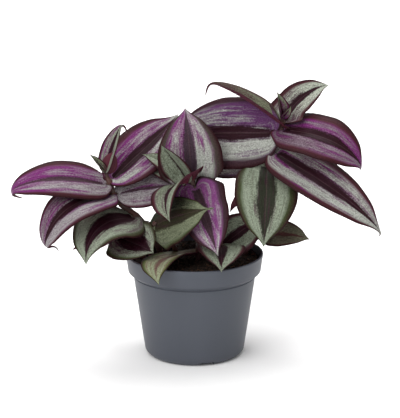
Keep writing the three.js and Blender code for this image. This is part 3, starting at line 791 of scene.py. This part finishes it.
def midrib(base, row):
    """Stations along a midrib: share of its length, point, upward and sideways directions."""
    tip, face, bow, sway = np.array(row["tip"]), unit(row["face"]), row["bow"], row["sway"]
    chord = tip - base
    up = unit(face - chord * (face @ chord) / (chord @ chord))
    side = unit(np.cross(chord, up))
    first = base + FIRST_PULL * chord + bow[0] * up + sway[0] * side
    second = base + SECOND_PULL * chord + bow[1] * up + sway[1] * side
    t = np.linspace(0, 1, CURVE_POINTS)[:, None]
    curve = ((1 - t) ** 3 * base + 3 * (1 - t) ** 2 * t * first
             + 3 * (1 - t) * t ** 2 * second + t ** 3 * tip)
    lengths = run_lengths(curve)
    even = np.linspace(0, 1, ALONG + 1)
    s = 0.5 * even + 0.25 * (1 - np.cos(np.pi * even))
    points, ahead = (np.stack([np.interp(s * lengths[-1], lengths, rows[:, k]) for k in range(3)], 1)
                     for rows in (curve, np.gradient(curve, axis=0)))
    ahead = unit(ahead)
    upward = unit(face - (ahead @ face)[:, None] * ahead)
    sideways = np.cross(ahead, upward)
    for i in np.flatnonzero(s > HOOK_FROM):
        turn = -math.radians(row["hook"]) * ((s[i] - HOOK_FROM) / (1 - HOOK_FROM)) ** HOOK_POWER
        ahead[i] = turned(ahead[i], sideways[i], turn)
        upward[i] = turned(upward[i], sideways[i], turn)
        if turn:
            points[i] = points[i - 1] + ahead[i] * (s[i] - s[i - 1]) * lengths[-1]
    return s, points, upward, sideways


print("a midrib has", ALONG, "steps, and its hook begins at", HOOK_FROM, "of its length")

# %% Heels and tails
HEEL_STEPS = 4
TAIL_STEPS = 8
TAIL_CUT = 0.965


def with_heel(heel, s, points, upward, sideways):
    """The same midrib, begun further down along the stem."""
    length = run_lengths(points)[-1]
    back = heel * np.linspace(1, 0, HEEL_STEPS, endpoint=False)
    behind = points[0] - back[:, None] * unit(points[1] - points[0])
    s = np.concatenate([heel - back, heel + s * length]) / (heel + length)
    upward, sideways = (np.vstack([np.repeat(rows[:1], HEEL_STEPS, axis=0), rows])
                        for rows in (upward, sideways))
    return s, np.vstack([behind, points]), upward, sideways


def with_tail(reach, turn, s, points, upward, sideways):
    """The same midrib, drawn out at its end into a thin tail that curls on."""
    kept = np.flatnonzero(s < TAIL_CUT)
    last = kept[-1]
    ahead = unit(points[last + 1] - points[last])
    place, lift, side = points[last], upward[last], sideways[last]
    rest = np.linalg.norm(points[-1] - place) + reach
    step = math.radians(turn) / TAIL_STEPS
    places, lifts = [], []
    for _ in range(TAIL_STEPS):
        ahead = turned(ahead, side, -step)
        lift = turned(lift, side, -step)
        place = place + ahead * rest / TAIL_STEPS
        places.append(place)
        lifts.append(lift)
    late = s[last] + (1 - s[last]) * np.linspace(0, 1, TAIL_STEPS + 1)[1:]
    return (np.concatenate([s[kept], late]), np.vstack([points[kept], places]),
            np.vstack([upward[kept], lifts]), np.vstack([sideways[kept], [side] * TAIL_STEPS]))


print("a heel has", HEEL_STEPS, "steps and a tail", TAIL_STEPS)

# %% The blade's width and section
TIP_POWER = 0.95
NARROW_FROM = 0.78
PLAIN_NARROWING = 0.45
LEAST_SHARE = 0.012
# A tail's half width shrinks evenly, and would be nothing a little past its end.
TAIL_TAPER = 0.010
TAIL_NOTHING = 1.04
# The halves reach nearly their full slope in a fifth of their width, and curl down faster further out.
FOLD_REACH = 0.1
CURL_POWER = 1.3
SECTION_POINTS = 41


def outline(s, widest, narrowing):
    """Half the width at s along a blade, as a share of its widest half."""
    base_power = TIP_POWER * widest / (1 - widest)
    peak = widest ** base_power * (1 - widest) ** TIP_POWER
    share = s ** base_power * (1 - s) ** TIP_POWER / peak
    late = np.clip((s - NARROW_FROM) / (1 - NARROW_FROM), 0, 1)
    return np.maximum(share * (1 - narrowing * late ** 2 * (3 - 2 * late)), LEAST_SHARE)


def half_width(s, row):
    """The blade's half width at each step, with its broad foot and its tail."""
    tail, widest = row["tail"], row["widest"]
    broad_foot = row["foot"][0] * np.clip(1 - s / widest, 0, 1) ** 2
    half = row["width"] / 2 * (outline(s, widest, tail[2] if tail else PLAIN_NARROWING) + broad_foot)
    return np.maximum(half, TAIL_TAPER * (TAIL_NOTHING - s) * (s >= TAIL_CUT)) if tail else half


def section(across, fold, curl):
    """Sideways and upward place of points across a blade whose half is 1 wide."""
    fine = np.linspace(0, 1, SECTION_POINTS)
    angle = np.radians(fold * np.tanh(fine / FOLD_REACH) - curl * fine ** CURL_POWER)
    middle = (angle[1:] + angle[:-1]) / 2
    x = np.concatenate([[0], np.cumsum(np.cos(middle) * np.diff(fine))])
    z = np.concatenate([[0], np.cumsum(np.sin(middle) * np.diff(fine))])
    return np.sign(across) * np.interp(abs(across), fine, x), np.interp(abs(across), fine, z)


print("a blade narrows from", NARROW_FROM, "of its length")

# %% What a blade wears
FOOT_RIM = 0.05
RIM_POWER = 0.7
# The stripe is at full width between these shares of the length, and narrows to the ends.
STRIPE_FULL = (0.3, 0.55)
STRIPE_BASE, STRIPE_TIP = 0.7, 0.3


def worn(s, v, paint, seed):
    """The UV map of one skin, and the paint spread over both skins of a blade."""
    u_grid, v_grid = np.meshgrid(s, v, indexing="ij")
    rounding = np.clip(u_grid / FOOT_RIM, 0, 1) ** RIM_POWER
    v_grid = np.sign(v_grid) * (1 - (1 - np.abs(v_grid)) * rounding)
    right = 0.5 + 0.5 * np.clip(3 * v_grid, -1, 1)

    def spread(corners):
        """A value over the blade from its base and tip on one half, then on the other."""
        a, b, c, d = corners
        grid = (a + (b - a) * u_grid) * (1 - right) + (c + (d - c) * u_grid) * right
        return np.tile(grid.ravel(), 2)

    begun, ending = STRIPE_FULL
    taper = STRIPE_BASE + (1 - STRIPE_BASE) * np.clip(u_grid / begun, 0, 1)
    taper = taper * (1 - (1 - STRIPE_TIP) * np.clip((u_grid - ending) / (1 - ending), 0, 1))
    spreads = {key: spread(paint[key]) for key in ("violet", "silver", "margin")}
    stripe = paint["stripe"] * np.tile(taper.ravel(), 2)
    return np.stack([u_grid.ravel(), v_grid.ravel()], 1), dict(paint, stripe=stripe, seed=seed, **spreads)


print("the paint comes round the base in the first", FOOT_RIM, "of a blade")

# %% Make a blade
ACROSS = 28
CROWDING = 1.25
BLADE = 0.0005
EDGE_THINNING = 0.6
# Each wave: its height, how often it comes, how the halves differ, how close it keeps to the edge.
WAVES = ((0.020, 9, 1.5, 2), (0.010, 21, 2, 3))
RIB_DEPTH, RIB_WIDTH = 0.012, 0.05
# The lobes of the foot reach back and rise. A small lobe rises less.
LOBE_END = 0.17
LOBE_RISE = 0.0026
FULL_LOBE = 0.003
# A tail is thicker than the blade, because it is rolled.
TAIL_BODY = 1.5
BODY_FROM = 0.86
# The places of the materials in a leaf's list.
FACE, BACK, WRAP = 0, 1, 2


def blade(base, row, paint, seed):
    """A closed blade as a patch: its face, its back and the edge between them."""
    (_, lobe, heel), tail = row["foot"], row["tail"]
    stations = midrib(np.array(base), row)
    if heel:
        stations = with_heel(heel, *stations)
    if tail:
        stations = with_tail(*tail[:2], *stations)
    s, points, upward, sideways = stations
    even = np.linspace(-1, 1, ACROSS + 1)
    v = np.sign(even) * np.abs(even) ** CROWDING
    x, z = section(v, row["fold"], row["curl"])
    half = half_width(s, row)[:, None]

    draw = np.random.default_rng(seed)
    wave = sum(size * np.sin(often * s[:, None] + start + shift * np.sign(v)) * np.abs(v) ** power
               for (size, often, shift, power), start in zip(WAVES, draw.uniform(0, 6.28, 4)))
    groove = -RIB_DEPTH * np.exp(-(v / RIB_WIDTH) ** 2)
    lift = z[None] + wave * np.sin(np.pi * s)[:, None] + groove[None]
    sheet = (points[:, None] + sideways[:, None] * (half * x[None])[..., None]
             + upward[:, None] * (half * lift)[..., None])

    heart = np.clip(1 - s / LOBE_END, 0, 1)[:, None] ** 2 * np.sin(np.pi * np.abs(v) ** 0.8)[None]
    lobe_way = LOBE_RISE * min(lobe / FULL_LOBE, 1) * upward[0] - lobe * unit(points[1] - points[0])
    sheet = sheet + heart[..., None] * lobe_way
    normals = unit(np.cross(np.gradient(sheet, axis=1), np.gradient(sheet, axis=0)))
    thickness = BLADE * (1 - EDGE_THINNING * np.abs(v) ** 4)[None, :, None] / 2
    if tail:
        late = np.clip((s - BODY_FROM) / (1 - BODY_FROM), 0, 1)
        thickness = thickness * (1 + TAIL_BODY * np.sin(np.pi * late ** 1.5))[:, None, None]

    rows, columns = len(s), len(v)
    under = rows * columns
    upper = grid_faces(rows, columns)
    lower = [f[::-1] for f in grid_faces(rows, columns, under)]
    grid = np.arange(under).reshape(rows, columns)
    edge = np.concatenate([grid[0, :-1], grid[:-1, -1], grid[-1, :0:-1], grid[:0:-1, 0]]).tolist()
    rim = [(under + p, under + q, q, p) for p, q in zip(edge, edge[1:] + edge[:1])]
    uv, paint = worn(s, v, paint, float(draw.uniform(0, 40)))
    skins = (sheet + normals * thickness, sheet - normals * thickness)
    return dict(points=np.concatenate([skin.reshape(-1, 3) for skin in skins]),
                faces=upper + lower + rim, uv=np.tile(uv, (2, 1)),
                kinds=[FACE] * len(upper) + [BACK] * len(lower) + [FACE] * len(rim), paint=paint)


print("a blade has", 4 * ALONG * ACROSS, "triangles and its edge")

# %% [markdown]
# ## The sheath at a leaf's foot
#
# A tradescantia leaf has no stalk. Its foot wraps the stem as a short collar, and the blade springs
# from the collar's upper rim. The collar hides the joint and closes the small gap that the CAD solids
# keep there. A plain ring would stand off a bent stem. So it is a tube of rings round the stem's own
# route that leans out on the leaf's side.

# %% Make a sheath
SEAT = 0.00086
SHEATH_LENGTH = 0.0065
SHEATH_SIDES = 18
SHEATH_RISE = 0.0012
SHEATH_STREAKS = 0.8
# Each ring: how far below the leaf, as a share of the length, and how far off the stem in mm.
SHEATH_RINGS = ((1.0, -0.3), (0.97, 0.12), (0.6, 0.2), (0.25, 0.3), (0.0, 0.4), (-0.06, 0.3), (-0.02, -0.3))


def closed_tube(rings, along, across, kind, seed):
    """A patch from rings of points, closed at both ends."""
    rows, columns = len(along), len(across)
    faces = grid_faces(rows, columns, ring=True) + end_faces(rows, columns)
    uv = np.stack([np.repeat(along, columns), np.tile(across, rows)], 1)
    return dict(points=np.reshape(rings, (-1, 3)), faces=faces, uv=uv, kinds=[kind] * len(faces),
                paint=dict(seed=float(seed)))


def sheath(stem, height, way, seed):
    """A collar round a stem, below the leaf's foot."""
    step, point, ahead, radius = stem_at(stem, height)
    way = unit(way - ahead * (way @ ahead))
    other = np.cross(ahead, way)
    turns = np.linspace(0, 2 * np.pi, SHEATH_SIDES, endpoint=False)
    towards = np.clip(np.cos(turns), 0, 1) ** 2
    back = routes[stem][step::-1]
    travelled = run_lengths(back)
    rings = []
    for low, swell in SHEATH_RINGS:
        down = SHEATH_LENGTH * low
        centre = np.array([np.interp(max(down, 0), travelled, back[:, k]) for k in range(3)])
        centre = centre - ahead * min(down, 0)
        leaning = towards * max(0, 1 - 3 * low)
        out = radius + 0.001 * swell + (SEAT * leaning if swell > 0 else 0)
        rings.append(centre + (out * np.cos(turns))[:, None] * way
                     + (out * np.sin(turns))[:, None] * other + (SHEATH_RISE * leaning)[:, None] * ahead)
    return closed_tube(rings, np.linspace(0, 1, len(rings)), SHEATH_STREAKS * turns, WRAP, seed)


print("a sheath is", round(1000 * SHEATH_LENGTH, 1), "mm long")

# %% [markdown]
# ## Grow the leaves
#
# Each leaf starts a hair off its stem's skin, in its sheath, and stands for the CAD leaf of the same
# name. All leaves in one mesh would draw a little faster, but then no leaf could be picked or hidden.

# %% All the leaves
LEAF_SKINS = (leaf_face, leaf_back, sheath_skin)


def foot_of(row, towards):
    """Where a leaf starts on its stem, and the way out from the stem."""
    step, point, ahead, radius = stem_at(row["stem"], row["height"])
    way = np.array(row["out"], float) if row["out"] else np.array(towards) - point
    way = unit(way - ahead * (way @ ahead))
    return point + way * (radius + SEAT), way


for seed, (name, row) in enumerate(LEAVES.items()):
    foot, way = foot_of(row, row["tip"])
    patches = [blade(foot, row, PAINT_OF.get(name, plain_green), seed),
               sheath(row["stem"], row["height"], way, seed)]
    grown(name + "_blade", patches, LEAF_SKINS, name)
print("leaves:", len(LEAVES))

# %% [markdown]
# ## The buds
#
# Each long shoot ends in a rolled spear with young leaves standing round it. They could be pieces of
# their own, but a bud is one piece on the real plant, so its spear and its leaves are made as one.
# The middle bud grows from the side of its stem, so it has a height there. A young leaf's row is like
# a leaf's, and ends with its paint.

# %% The buds' shapes
YOUNG_FOOT = (0.15, 0.8, 0)


def young_leaf(*numbers, wears, **more):
    """A young leaf's shape and paint."""
    return shape(*numbers, foot=YOUNG_FOOT, **more), wears


half_green = paint(SHADY, (0.9, 0.9, 0.5, 0.5), 0, 0.05, (0.24, 0.16), core=DARK_GREEN)
BUDS = {
    "left_bud": dict(stem="left", spear=(mm(-57, -11, 126), mm(-58.5, -12, 131)), leaves=(
        young_leaf((-45.6, -4, 156.5), 17, (1, 2), (-0.75, -0.65, 0.1), 30, 10, hook=130, tail=(4, 40, 0.45),
                   wears=paint(SUNNY, (0.9, 0.6, 0.8, 1), (0.55, 0.6, 0.1, 0.05), 0.24, (0.2, 0.16),
                               band=SILVER_GREEN)),
        young_leaf((-66.5, -16, 137.5), 7, (0, 0), (0.5, -0.6, 0.5), 40, 0, wears=young),
        young_leaf((-51.5, -12, 138.5), 11, (0, 0), (0.3, 0.9, 0.2), 20, 0, wears=young),
    )),
    "middle_bud": dict(stem="middle", height=0.108, out=(-0.2, 1, 0),
                       spear=(mm(-3, 2, 115), mm(-8, 5, 122)), leaves=(
        young_leaf((-33.7, 6, 132), 16, (6, 8), (0.1, -0.7, 0.7), 20, 20, wears=half_green),
        young_leaf((-32.5, 5, 123), 14, (4, 5), (0.1, -0.7, 0.7), 20, 20, wears=half_green),
    )),
    "right_bud": dict(stem="right", spear=(mm(56.5, -3.5, 161), mm(55.5, -5, 167)), leaves=(
        young_leaf((52.5, -10, 176.5), 12, (1, 1), (0.4, -0.8, 0.1), 50, 0, wears=blushing),
        young_leaf((61.5, -8, 167), 7, (1, 1), (0.3, -0.9, 0.1), 40, 0, wears=blushing),
    )),
}
print("buds:", len(BUDS))

# %% All the buds
SPEAR_STEPS = 8
SPEAR_SIDES = 14
SPEAR_TIP = 0.0003
SPEAR_SHARE = 0.9
SPEAR_POWER = 1.8
YOUNG_ROOT = 0.6
STREAK_LENGTH = 0.02
STREAKS_ROUND = 1.2
# No stem runs this way, so a direction square to both always exists.
ASIDE = (0.3, 1.0, 0.1)


def tube(path, radii, sides, kind, seed):
    """A closed tube of rings along a path, as a patch."""
    ahead = unit(np.gradient(path, axis=0))
    first = unit(np.cross(ahead, ASIDE))
    second = np.cross(ahead, first)
    turns = np.linspace(0, 2 * np.pi, sides, endpoint=False)
    rings = path[:, None] + radii[:, None, None] * (np.cos(turns)[None, :, None] * first[:, None]
                                                    + np.sin(turns)[None, :, None] * second[:, None])
    return closed_tube(rings, run_lengths(path) / STREAK_LENGTH, STREAKS_ROUND * np.abs(turns - np.pi),
                       kind, seed)


for seed, (name, bud) in enumerate(BUDS.items(), 50):
    start = np.array(bud["spear"][0])
    foot = foot_of(bud, start)[0] if "height" in bud else routes[bud["stem"]][-1]
    spear = smooth_route([foot, *bud["spear"]], SPEAR_STEPS)
    thick = stem_radii[bud["stem"]][1] * SPEAR_SHARE
    radii = thick + (SPEAR_TIP - thick) * np.linspace(0, 1, len(spear)) ** SPEAR_POWER
    patches = [tube(spear, radii, SPEAR_SIDES, WRAP, seed)]
    root = foot + YOUNG_ROOT * (start - foot)
    for k, (row, wears) in enumerate(bud["leaves"]):
        patches.append(blade(root, row, wears, 10 * seed + k))
    grown(name + "_young_leaves", patches, LEAF_SKINS, name)
    print(name, "with", len(bud["leaves"]), "young leaves")

# %% [markdown]
# ## Grow the stems
#
# The tube follows the stem's route. At each height where a leaf grows it swells a little, like the
# knuckles on a bamboo cane, and between two knuckles it is slim. A stem that ends without a bud
# tapers to a blunt end. A plain tube of one thickness would look like wire.

# %% All the stems
KNUCKLE = 0.00025
KNUCKLE_LENGTH = 0.0018
MOST_SWELL = 0.0004
STEM_SIDES = 20
END_STEPS = 6
END_SHARE = 0.4

for seed, (name, route) in enumerate(routes.items(), 80):
    thick, thin = stem_radii[name]
    radii = np.linspace(thick, thin, len(route))
    for row in LEAVES.values():
        if row["stem"] == name:
            away = np.linalg.norm(route - stem_at(name, row["height"])[1], axis=1)
            radii = radii + KNUCKLE * np.exp(-(away / KNUCKLE_LENGTH) ** 2)
    radii = np.minimum(radii, thick + MOST_SWELL)
    if name + "_bud" not in BUDS:
        radii[-END_STEPS:] *= np.linspace(1, END_SHARE, END_STEPS)
    grown(name + "_stem_skin", [tube(route, radii, STEM_SIDES, 0, seed)], (stem_skin,), name + "_stem")
print("stems:", len(routes))

# %% [markdown]
# ## The pot
#
# A nursery pot is moulded from thin plastic: a tapered body, a step up to a wider collar with a fine
# groove under it, a rounded lip, a foot ring, and small notches in the bottom edge that let water
# out. It could be built up from cylinders, but one outline turned round the axis shows its whole wall
# at a glance. Each corner of the outline is rounded first, because moulded plastic has no sharp edge
# and the light catches on the round ones. The notches and drains are then cut with one Boolean, which
# can leave tiny sliver faces. Those are welded away.

# %% Turn the pot
POT_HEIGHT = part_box("pot")[1].z
RIM_RADIUS = 0.045
BAND_HEIGHT = 0.0118
STEP_RISE = 0.0028
BAND_FOOT_RADIUS = 0.0434
BODY_TOP_RADIUS = 0.040
BODY_FOOT_RADIUS = 0.0326
WALL = 0.0012
FOOT_RISE = 0.0015
FLOOR_TOP = 0.0029
GROOVE = 0.0005
BAND_FOOT = POT_HEIGHT - BAND_HEIGHT
STEP_FOOT = BAND_FOOT - STEP_RISE
POT_SIDES = 180
CORNER_STEPS = 4
CORNER_SHARE = 0.45

# Each corner: its radius from the axis, its height, and how far it is rounded.
POT_OUTLINE = (
    (0.0, 0.0, 0), (0.009, 0.0, 0.0003), (0.010, FOOT_RISE, 0.0003), (0.026, FOOT_RISE, 0.0003),
    (0.027, 0.0, 0.0003), (0.0300, 0.0, 0.0028), (BODY_FOOT_RADIUS, 0.0025, 0.0028),
    (BODY_TOP_RADIUS, STEP_FOOT - GROOVE, 0.0003),
    (BODY_TOP_RADIUS - GROOVE, STEP_FOOT - 0.3 * GROOVE, 0.0003),
    (BODY_TOP_RADIUS + 0.0003, STEP_FOOT + GROOVE, 0.0003), (BAND_FOOT_RADIUS, BAND_FOOT, 0.0006),
    (RIM_RADIUS, POT_HEIGHT - 0.0003, 0.0008), (RIM_RADIUS - 0.0012, POT_HEIGHT, 0.0004),
    (RIM_RADIUS - WALL - 0.0004, POT_HEIGHT - 0.0006, 0.0003),
    (BAND_FOOT_RADIUS - WALL - 0.0003, BAND_FOOT + 0.0006, 0.001),
    (BODY_TOP_RADIUS - WALL, STEP_FOOT - 0.001, 0.001),
    (BODY_FOOT_RADIUS - WALL, 0.004, 0.001), (BODY_FOOT_RADIUS - WALL - 0.0015, FLOOR_TOP, 0.0005),
    (0.0, FLOOR_TOP, 0),
)


def rounded(outline):
    """The outline with each corner rounded by its own radius."""
    places = [outline[0][:2]]
    for before, (r, z, bevel), after in zip(outline, outline[1:], outline[2:]):
        here = np.array((r, z))
        back, ahead = np.array(before[:2]) - here, np.array(after[:2]) - here
        reach = min(bevel, CORNER_SHARE * np.linalg.norm(back), CORNER_SHARE * np.linalg.norm(ahead))
        start, end = here + unit(back) * reach, here + unit(ahead) * reach
        for t in np.linspace(0, 1, CORNER_STEPS + 1):
            places.append((1 - t) ** 2 * start + 2 * t * (1 - t) * here + t ** 2 * end)
    return [*places, outline[-1][:2]]


profile = rounded(POT_OUTLINE)
turns = np.linspace(0, 2 * np.pi, POT_SIDES, endpoint=False)
points = [(0, 0, profile[0][1])]
for r, z in profile[1:-1]:
    points += [(r * c, r * s, z) for c, s in zip(np.cos(turns), np.sin(turns))]
points.append((0, 0, profile[-1][1]))
faces = grid_faces(len(profile) - 2, POT_SIDES, 1, ring=True)
last_ring = 1 + (len(profile) - 3) * POT_SIDES
for j in range(POT_SIDES):
    k = (j + 1) % POT_SIDES
    faces.append((0, 1 + k, 1 + j))
    faces.append((len(points) - 1, last_ring + j, last_ring + k))
pot = placed("pot_shell", points, faces)
print("pot faces:", len(faces))

# %% Cut the drains and the notches
DRAINS, DRAIN_SIDES = 8, 24
DRAIN_RADIUS, DRAIN_CIRCLE, DRAIN_REACH = 0.003, 0.019, 0.006
NOTCHES, FIRST_NOTCH = 4, -75
NOTCH_SIDE, NOTCH_HEIGHT, NOTCH_CIRCLE = 0.0096, 0.0042, 0.0298
BLOCK_FACES = ((0, 1, 3, 2), (4, 6, 7, 5), (0, 4, 5, 1), (2, 3, 7, 6), (0, 2, 6, 4), (1, 5, 7, 3))
WELD = 0.000002

points, faces = [], []
for i in range(DRAINS):
    turn = 2 * math.pi * i / DRAINS
    start = len(points)
    for z in (-DRAIN_REACH, DRAIN_REACH):
        points += [(DRAIN_CIRCLE * math.cos(turn) + DRAIN_RADIUS * math.cos(a),
                    DRAIN_CIRCLE * math.sin(turn) + DRAIN_RADIUS * math.sin(a), z)
                   for a in np.linspace(0, 2 * math.pi, DRAIN_SIDES, endpoint=False)]
    faces += grid_faces(2, DRAIN_SIDES, start, ring=True) + end_faces(2, DRAIN_SIDES, start)
for i in range(NOTCHES):
    turn = math.radians(FIRST_NOTCH + 360 / NOTCHES * i)
    faces += [tuple(len(points) + k for k in face) for face in BLOCK_FACES]
    for x in (NOTCH_CIRCLE - NOTCH_SIDE / 2, NOTCH_CIRCLE + NOTCH_SIDE / 2):
        for y in (-NOTCH_SIDE / 2, NOTCH_SIDE / 2):
            points += [(x * math.cos(turn) - y * math.sin(turn), x * math.sin(turn) + y * math.cos(turn), z)
                       for z in (-NOTCH_HEIGHT / 2, NOTCH_HEIGHT / 2)]
knife = placed("pot_knife", points, faces)
cut = pot.modifiers.new("cut", "BOOLEAN")
cut.operation = "DIFFERENCE"
cut.object = knife
cut.solver = "EXACT"
pot.data = bpy.data.meshes.new_from_object(pot.evaluated_get(bpy.context.evaluated_depsgraph_get()))
pot.modifiers.clear()
bpy.data.objects.remove(knife)
clean = bmesh.new()
clean.from_mesh(pot.data)
bmesh.ops.remove_doubles(clean, verts=clean.verts, dist=WELD)
bmesh.ops.dissolve_degenerate(clean, edges=clean.edges, dist=WELD)
clean.to_mesh(pot.data)
clean.free()
print("pot faces after the cut:", len(pot.data.polygons))

# %% [markdown]
# The plastic is a cool dark grey with a satin shine. Moulded plastic is never quite even: it has a
# very fine grain from the mould, faint upright flow marks, and a dusting of dry soil near the lip.
# A photograph of plastic could be wrapped round the pot, but noise needs no seam and no file.

# %% The pot's material
POT_GREY = (0.056, 0.062, 0.078, 1)
POT_PALE = (0.068, 0.075, 0.093, 1)
DUST = (0.12, 0.11, 0.10, 1)
FLOW_STRETCH = (60, 60, 9)
SHARP_ANGLE = 32

plastic = finish("pot_plastic", 0.46, 0.35)
where = object_places()
flow = cloudy(add("ShaderNodeMapping", {"Vector": where, "Scale": FLOW_STRETCH}).outputs["Vector"], 1.0, 3.0)
spots = cloudy(where, 700.0, 4.0)
# The dust begins 57 mm above the floor and thickens to the lip.
near_lip = graded(add("ShaderNodeSeparateXYZ", {"Vector": where}).outputs["Z"], 60.0, -3.4)
dusty = times(graded(spots, 6.0, -3.7), near_lip)
coloured(mixed(times(dusty, 0.35), mixed(flow, POT_GREY, POT_PALE), DUST))
tree.links.new(graded(flow, 0.16, 0.38, clamp=False), shader.inputs["Roughness"])
raised(cloudy(where, 2600.0), 0.12, 0.00008)
pot.data.materials.clear()
pot.data.materials.append(plastic)
smoothed(pot)
pot.data.set_sharp_from_angle(angle=math.radians(SHARP_ANGLE))
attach(pot, "root")
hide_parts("pot")
print("pot height in mm:", round(1000 * POT_HEIGHT, 1))

# %% [markdown]
# ## The soil
#
# Potting compost is dark, damp and crumbly, with a few brown fibres and bits of bark. One bumpy bed
# gives the lie of the surface, with low noise for hollows and high noise for grain. A bed alone would
# look like felt, so loose crumbs on top break its outline. They are one mesh of many small lumps,
# each squashed and turned its own way.

# %% Make the soil's bed
SOIL_TOP = 0.0636
SOIL_RADIUS = 0.0420
SOIL_FLOOR = 0.0034
SOIL_SIDES, SOIL_RINGS = 150, 52
HOLLOWS, GRAINS = 0.0008, 0.0005
# The bed's sides, from the top down: radius and height.
SOIL_SIDE = ((0.0383, 0.051), (0.0308, SOIL_FLOOR + 0.001), (0.0296, SOIL_FLOOR))


def soil_height(x, y):
    """The soil's height over the pot's foot at a place: hollows about a centimetre apart, and grain."""
    lump = (math.sin(550 * x + 1) * math.cos(600 * y) + 0.6 * math.sin(210 * x - 330 * y))
    grainy = noise.noise(Vector((x, y, 0)) * 900) + 0.5 * noise.noise(Vector((x, y, 3)) * 2600)
    return SOIL_TOP + HOLLOWS * lump + GRAINS * grainy


def ring(radius):
    """Points round the soil's middle."""
    turns = [2 * math.pi * j / SOIL_SIDES for j in range(SOIL_SIDES)]
    return [(radius * math.cos(turn), radius * math.sin(turn)) for turn in turns]


points = [(x, y, soil_height(x, y)) for i in range(SOIL_RINGS)
          for x, y in ring(SOIL_RADIUS * (i + 1) / SOIL_RINGS)]
points += [(x, y, z) for r, z in SOIL_SIDE for x, y in ring(r)]
count = SOIL_RINGS + len(SOIL_SIDE)
faces = grid_faces(count, SOIL_SIDES, ring=True) + end_faces(count, SOIL_SIDES)
bed = placed("soil_bed", points, [f[::-1] for f in faces])
smoothed(bed)
print("soil bed faces:", len(faces))

# %% Scatter the crumbs
CRUMBS = 2600
CHIPS = 90
CRUMB_LEAST, CRUMB_SPREAD, CRUMB_POWER = 0.00035, 0.0009, 2.5
CRUMB_REACH = SOIL_RADIUS * 0.985
CHIP_SIZES = (0.0006, 0.0013)
SQUASH = (0.7, 1.25)
MOST_LEAN = 0.6
RAISED = 0.35
CRUMB_BROWN, CHIP_BROWN = (0, 0.35), (0.6, 1.0)
CRUMB_SHAPE = (1.1, 0.9, 0.7)
CHIP_SHAPE = (1.9, 0.6, 0.35)
GOLDEN = (1 + 5 ** 0.5) / 2

draw = np.random.default_rng(11)
lump_points = unit([np.roll((0, a, b * GOLDEN), turn) for turn in (0, 2, 1)
                    for a in (-1, 1) for b in (-1, 1)])


def hull_faces(points):
    """The triangles round a small convex lump."""
    faces = []
    for a, b, c in combinations(range(len(points)), 3):
        off = (points - points[a]) @ np.cross(points[b] - points[a], points[c] - points[a])
        if np.all(off <= 1e-9):
            faces.append((a, b, c))
        elif np.all(off >= -1e-9):
            faces.append((a, c, b))
    return faces


lump_faces = hull_faces(lump_points)
points, faces, browns = [], [], []
for i in range(CRUMBS + CHIPS):
    r = CRUMB_REACH * math.sqrt(draw.uniform())
    turn = draw.uniform(0, 2 * math.pi)
    x, y = r * math.cos(turn), r * math.sin(turn)
    chip = i >= CRUMBS
    size = draw.uniform(*CHIP_SIZES) if chip else CRUMB_LEAST + CRUMB_SPREAD * draw.uniform() ** CRUMB_POWER
    squash = draw.uniform(*SQUASH, lump_points.shape)
    lump = lump_points * squash * size * (CHIP_SHAPE if chip else CRUMB_SHAPE)
    spin = draw.uniform(0, 2 * math.pi)
    lean = draw.uniform(-MOST_LEAN, MOST_LEAN)
    turned_x = lump[:, 0] * math.cos(spin) - lump[:, 1] * math.sin(spin)
    turned_y = lump[:, 0] * math.sin(spin) + lump[:, 1] * math.cos(spin)
    leaned_z = lump[:, 2] + lean * turned_x
    z = soil_height(x, y) + RAISED * size
    faces += [tuple(len(points) + k for k in face) for face in lump_faces]
    points += [(x + a, y + b, z + c) for a, b, c in zip(turned_x, turned_y, leaned_z)]
    browns += [draw.uniform(*(CHIP_BROWN if chip else CRUMB_BROWN))] * len(lump_points)
crumbs = placed("soil_crumbs", points, faces)
crumbs.data.attributes.new("brown", "FLOAT", "POINT").data.foreach_set("value", browns)
print("crumbs:", CRUMBS, "bark chips:", CHIPS)

# %% The soil's material
SOIL_BLACK = (0.010, 0.0068, 0.0055, 1)
SOIL_BROWN = (0.034, 0.020, 0.013, 1)
BARK = (0.120, 0.060, 0.030, 1)

peat = finish("damp_peat", 0.85, 0.3)
where = object_places()
dark = mixed(graded(cloudy(where, 420.0, 5.0), 3.0, -1.2), SOIL_BLACK, SOIL_BROWN)
grit = cloudy(where, 2400.0, 3.0)
coloured(mixed(times(stored("brown"), graded(grit, 1.2, 0.2, clamp=False)), dark, BARK))
raised(grit, 0.8, 0.0006)
for piece in (bed, crumbs):
    piece.data.materials.append(peat)
    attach(piece, "root")
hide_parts("soil")
print("soil pieces: bed and crumbs")

# %% [markdown]
# ## Sizes and the end
#
# The finished plant must fill the same box as the CAD model. The last line writes down the CAD model's box.

# %% Write the sizes and finish
print("CAD box in mm:", [round(1000 * v, 1) for v in (*cad_low, *cad_high)])
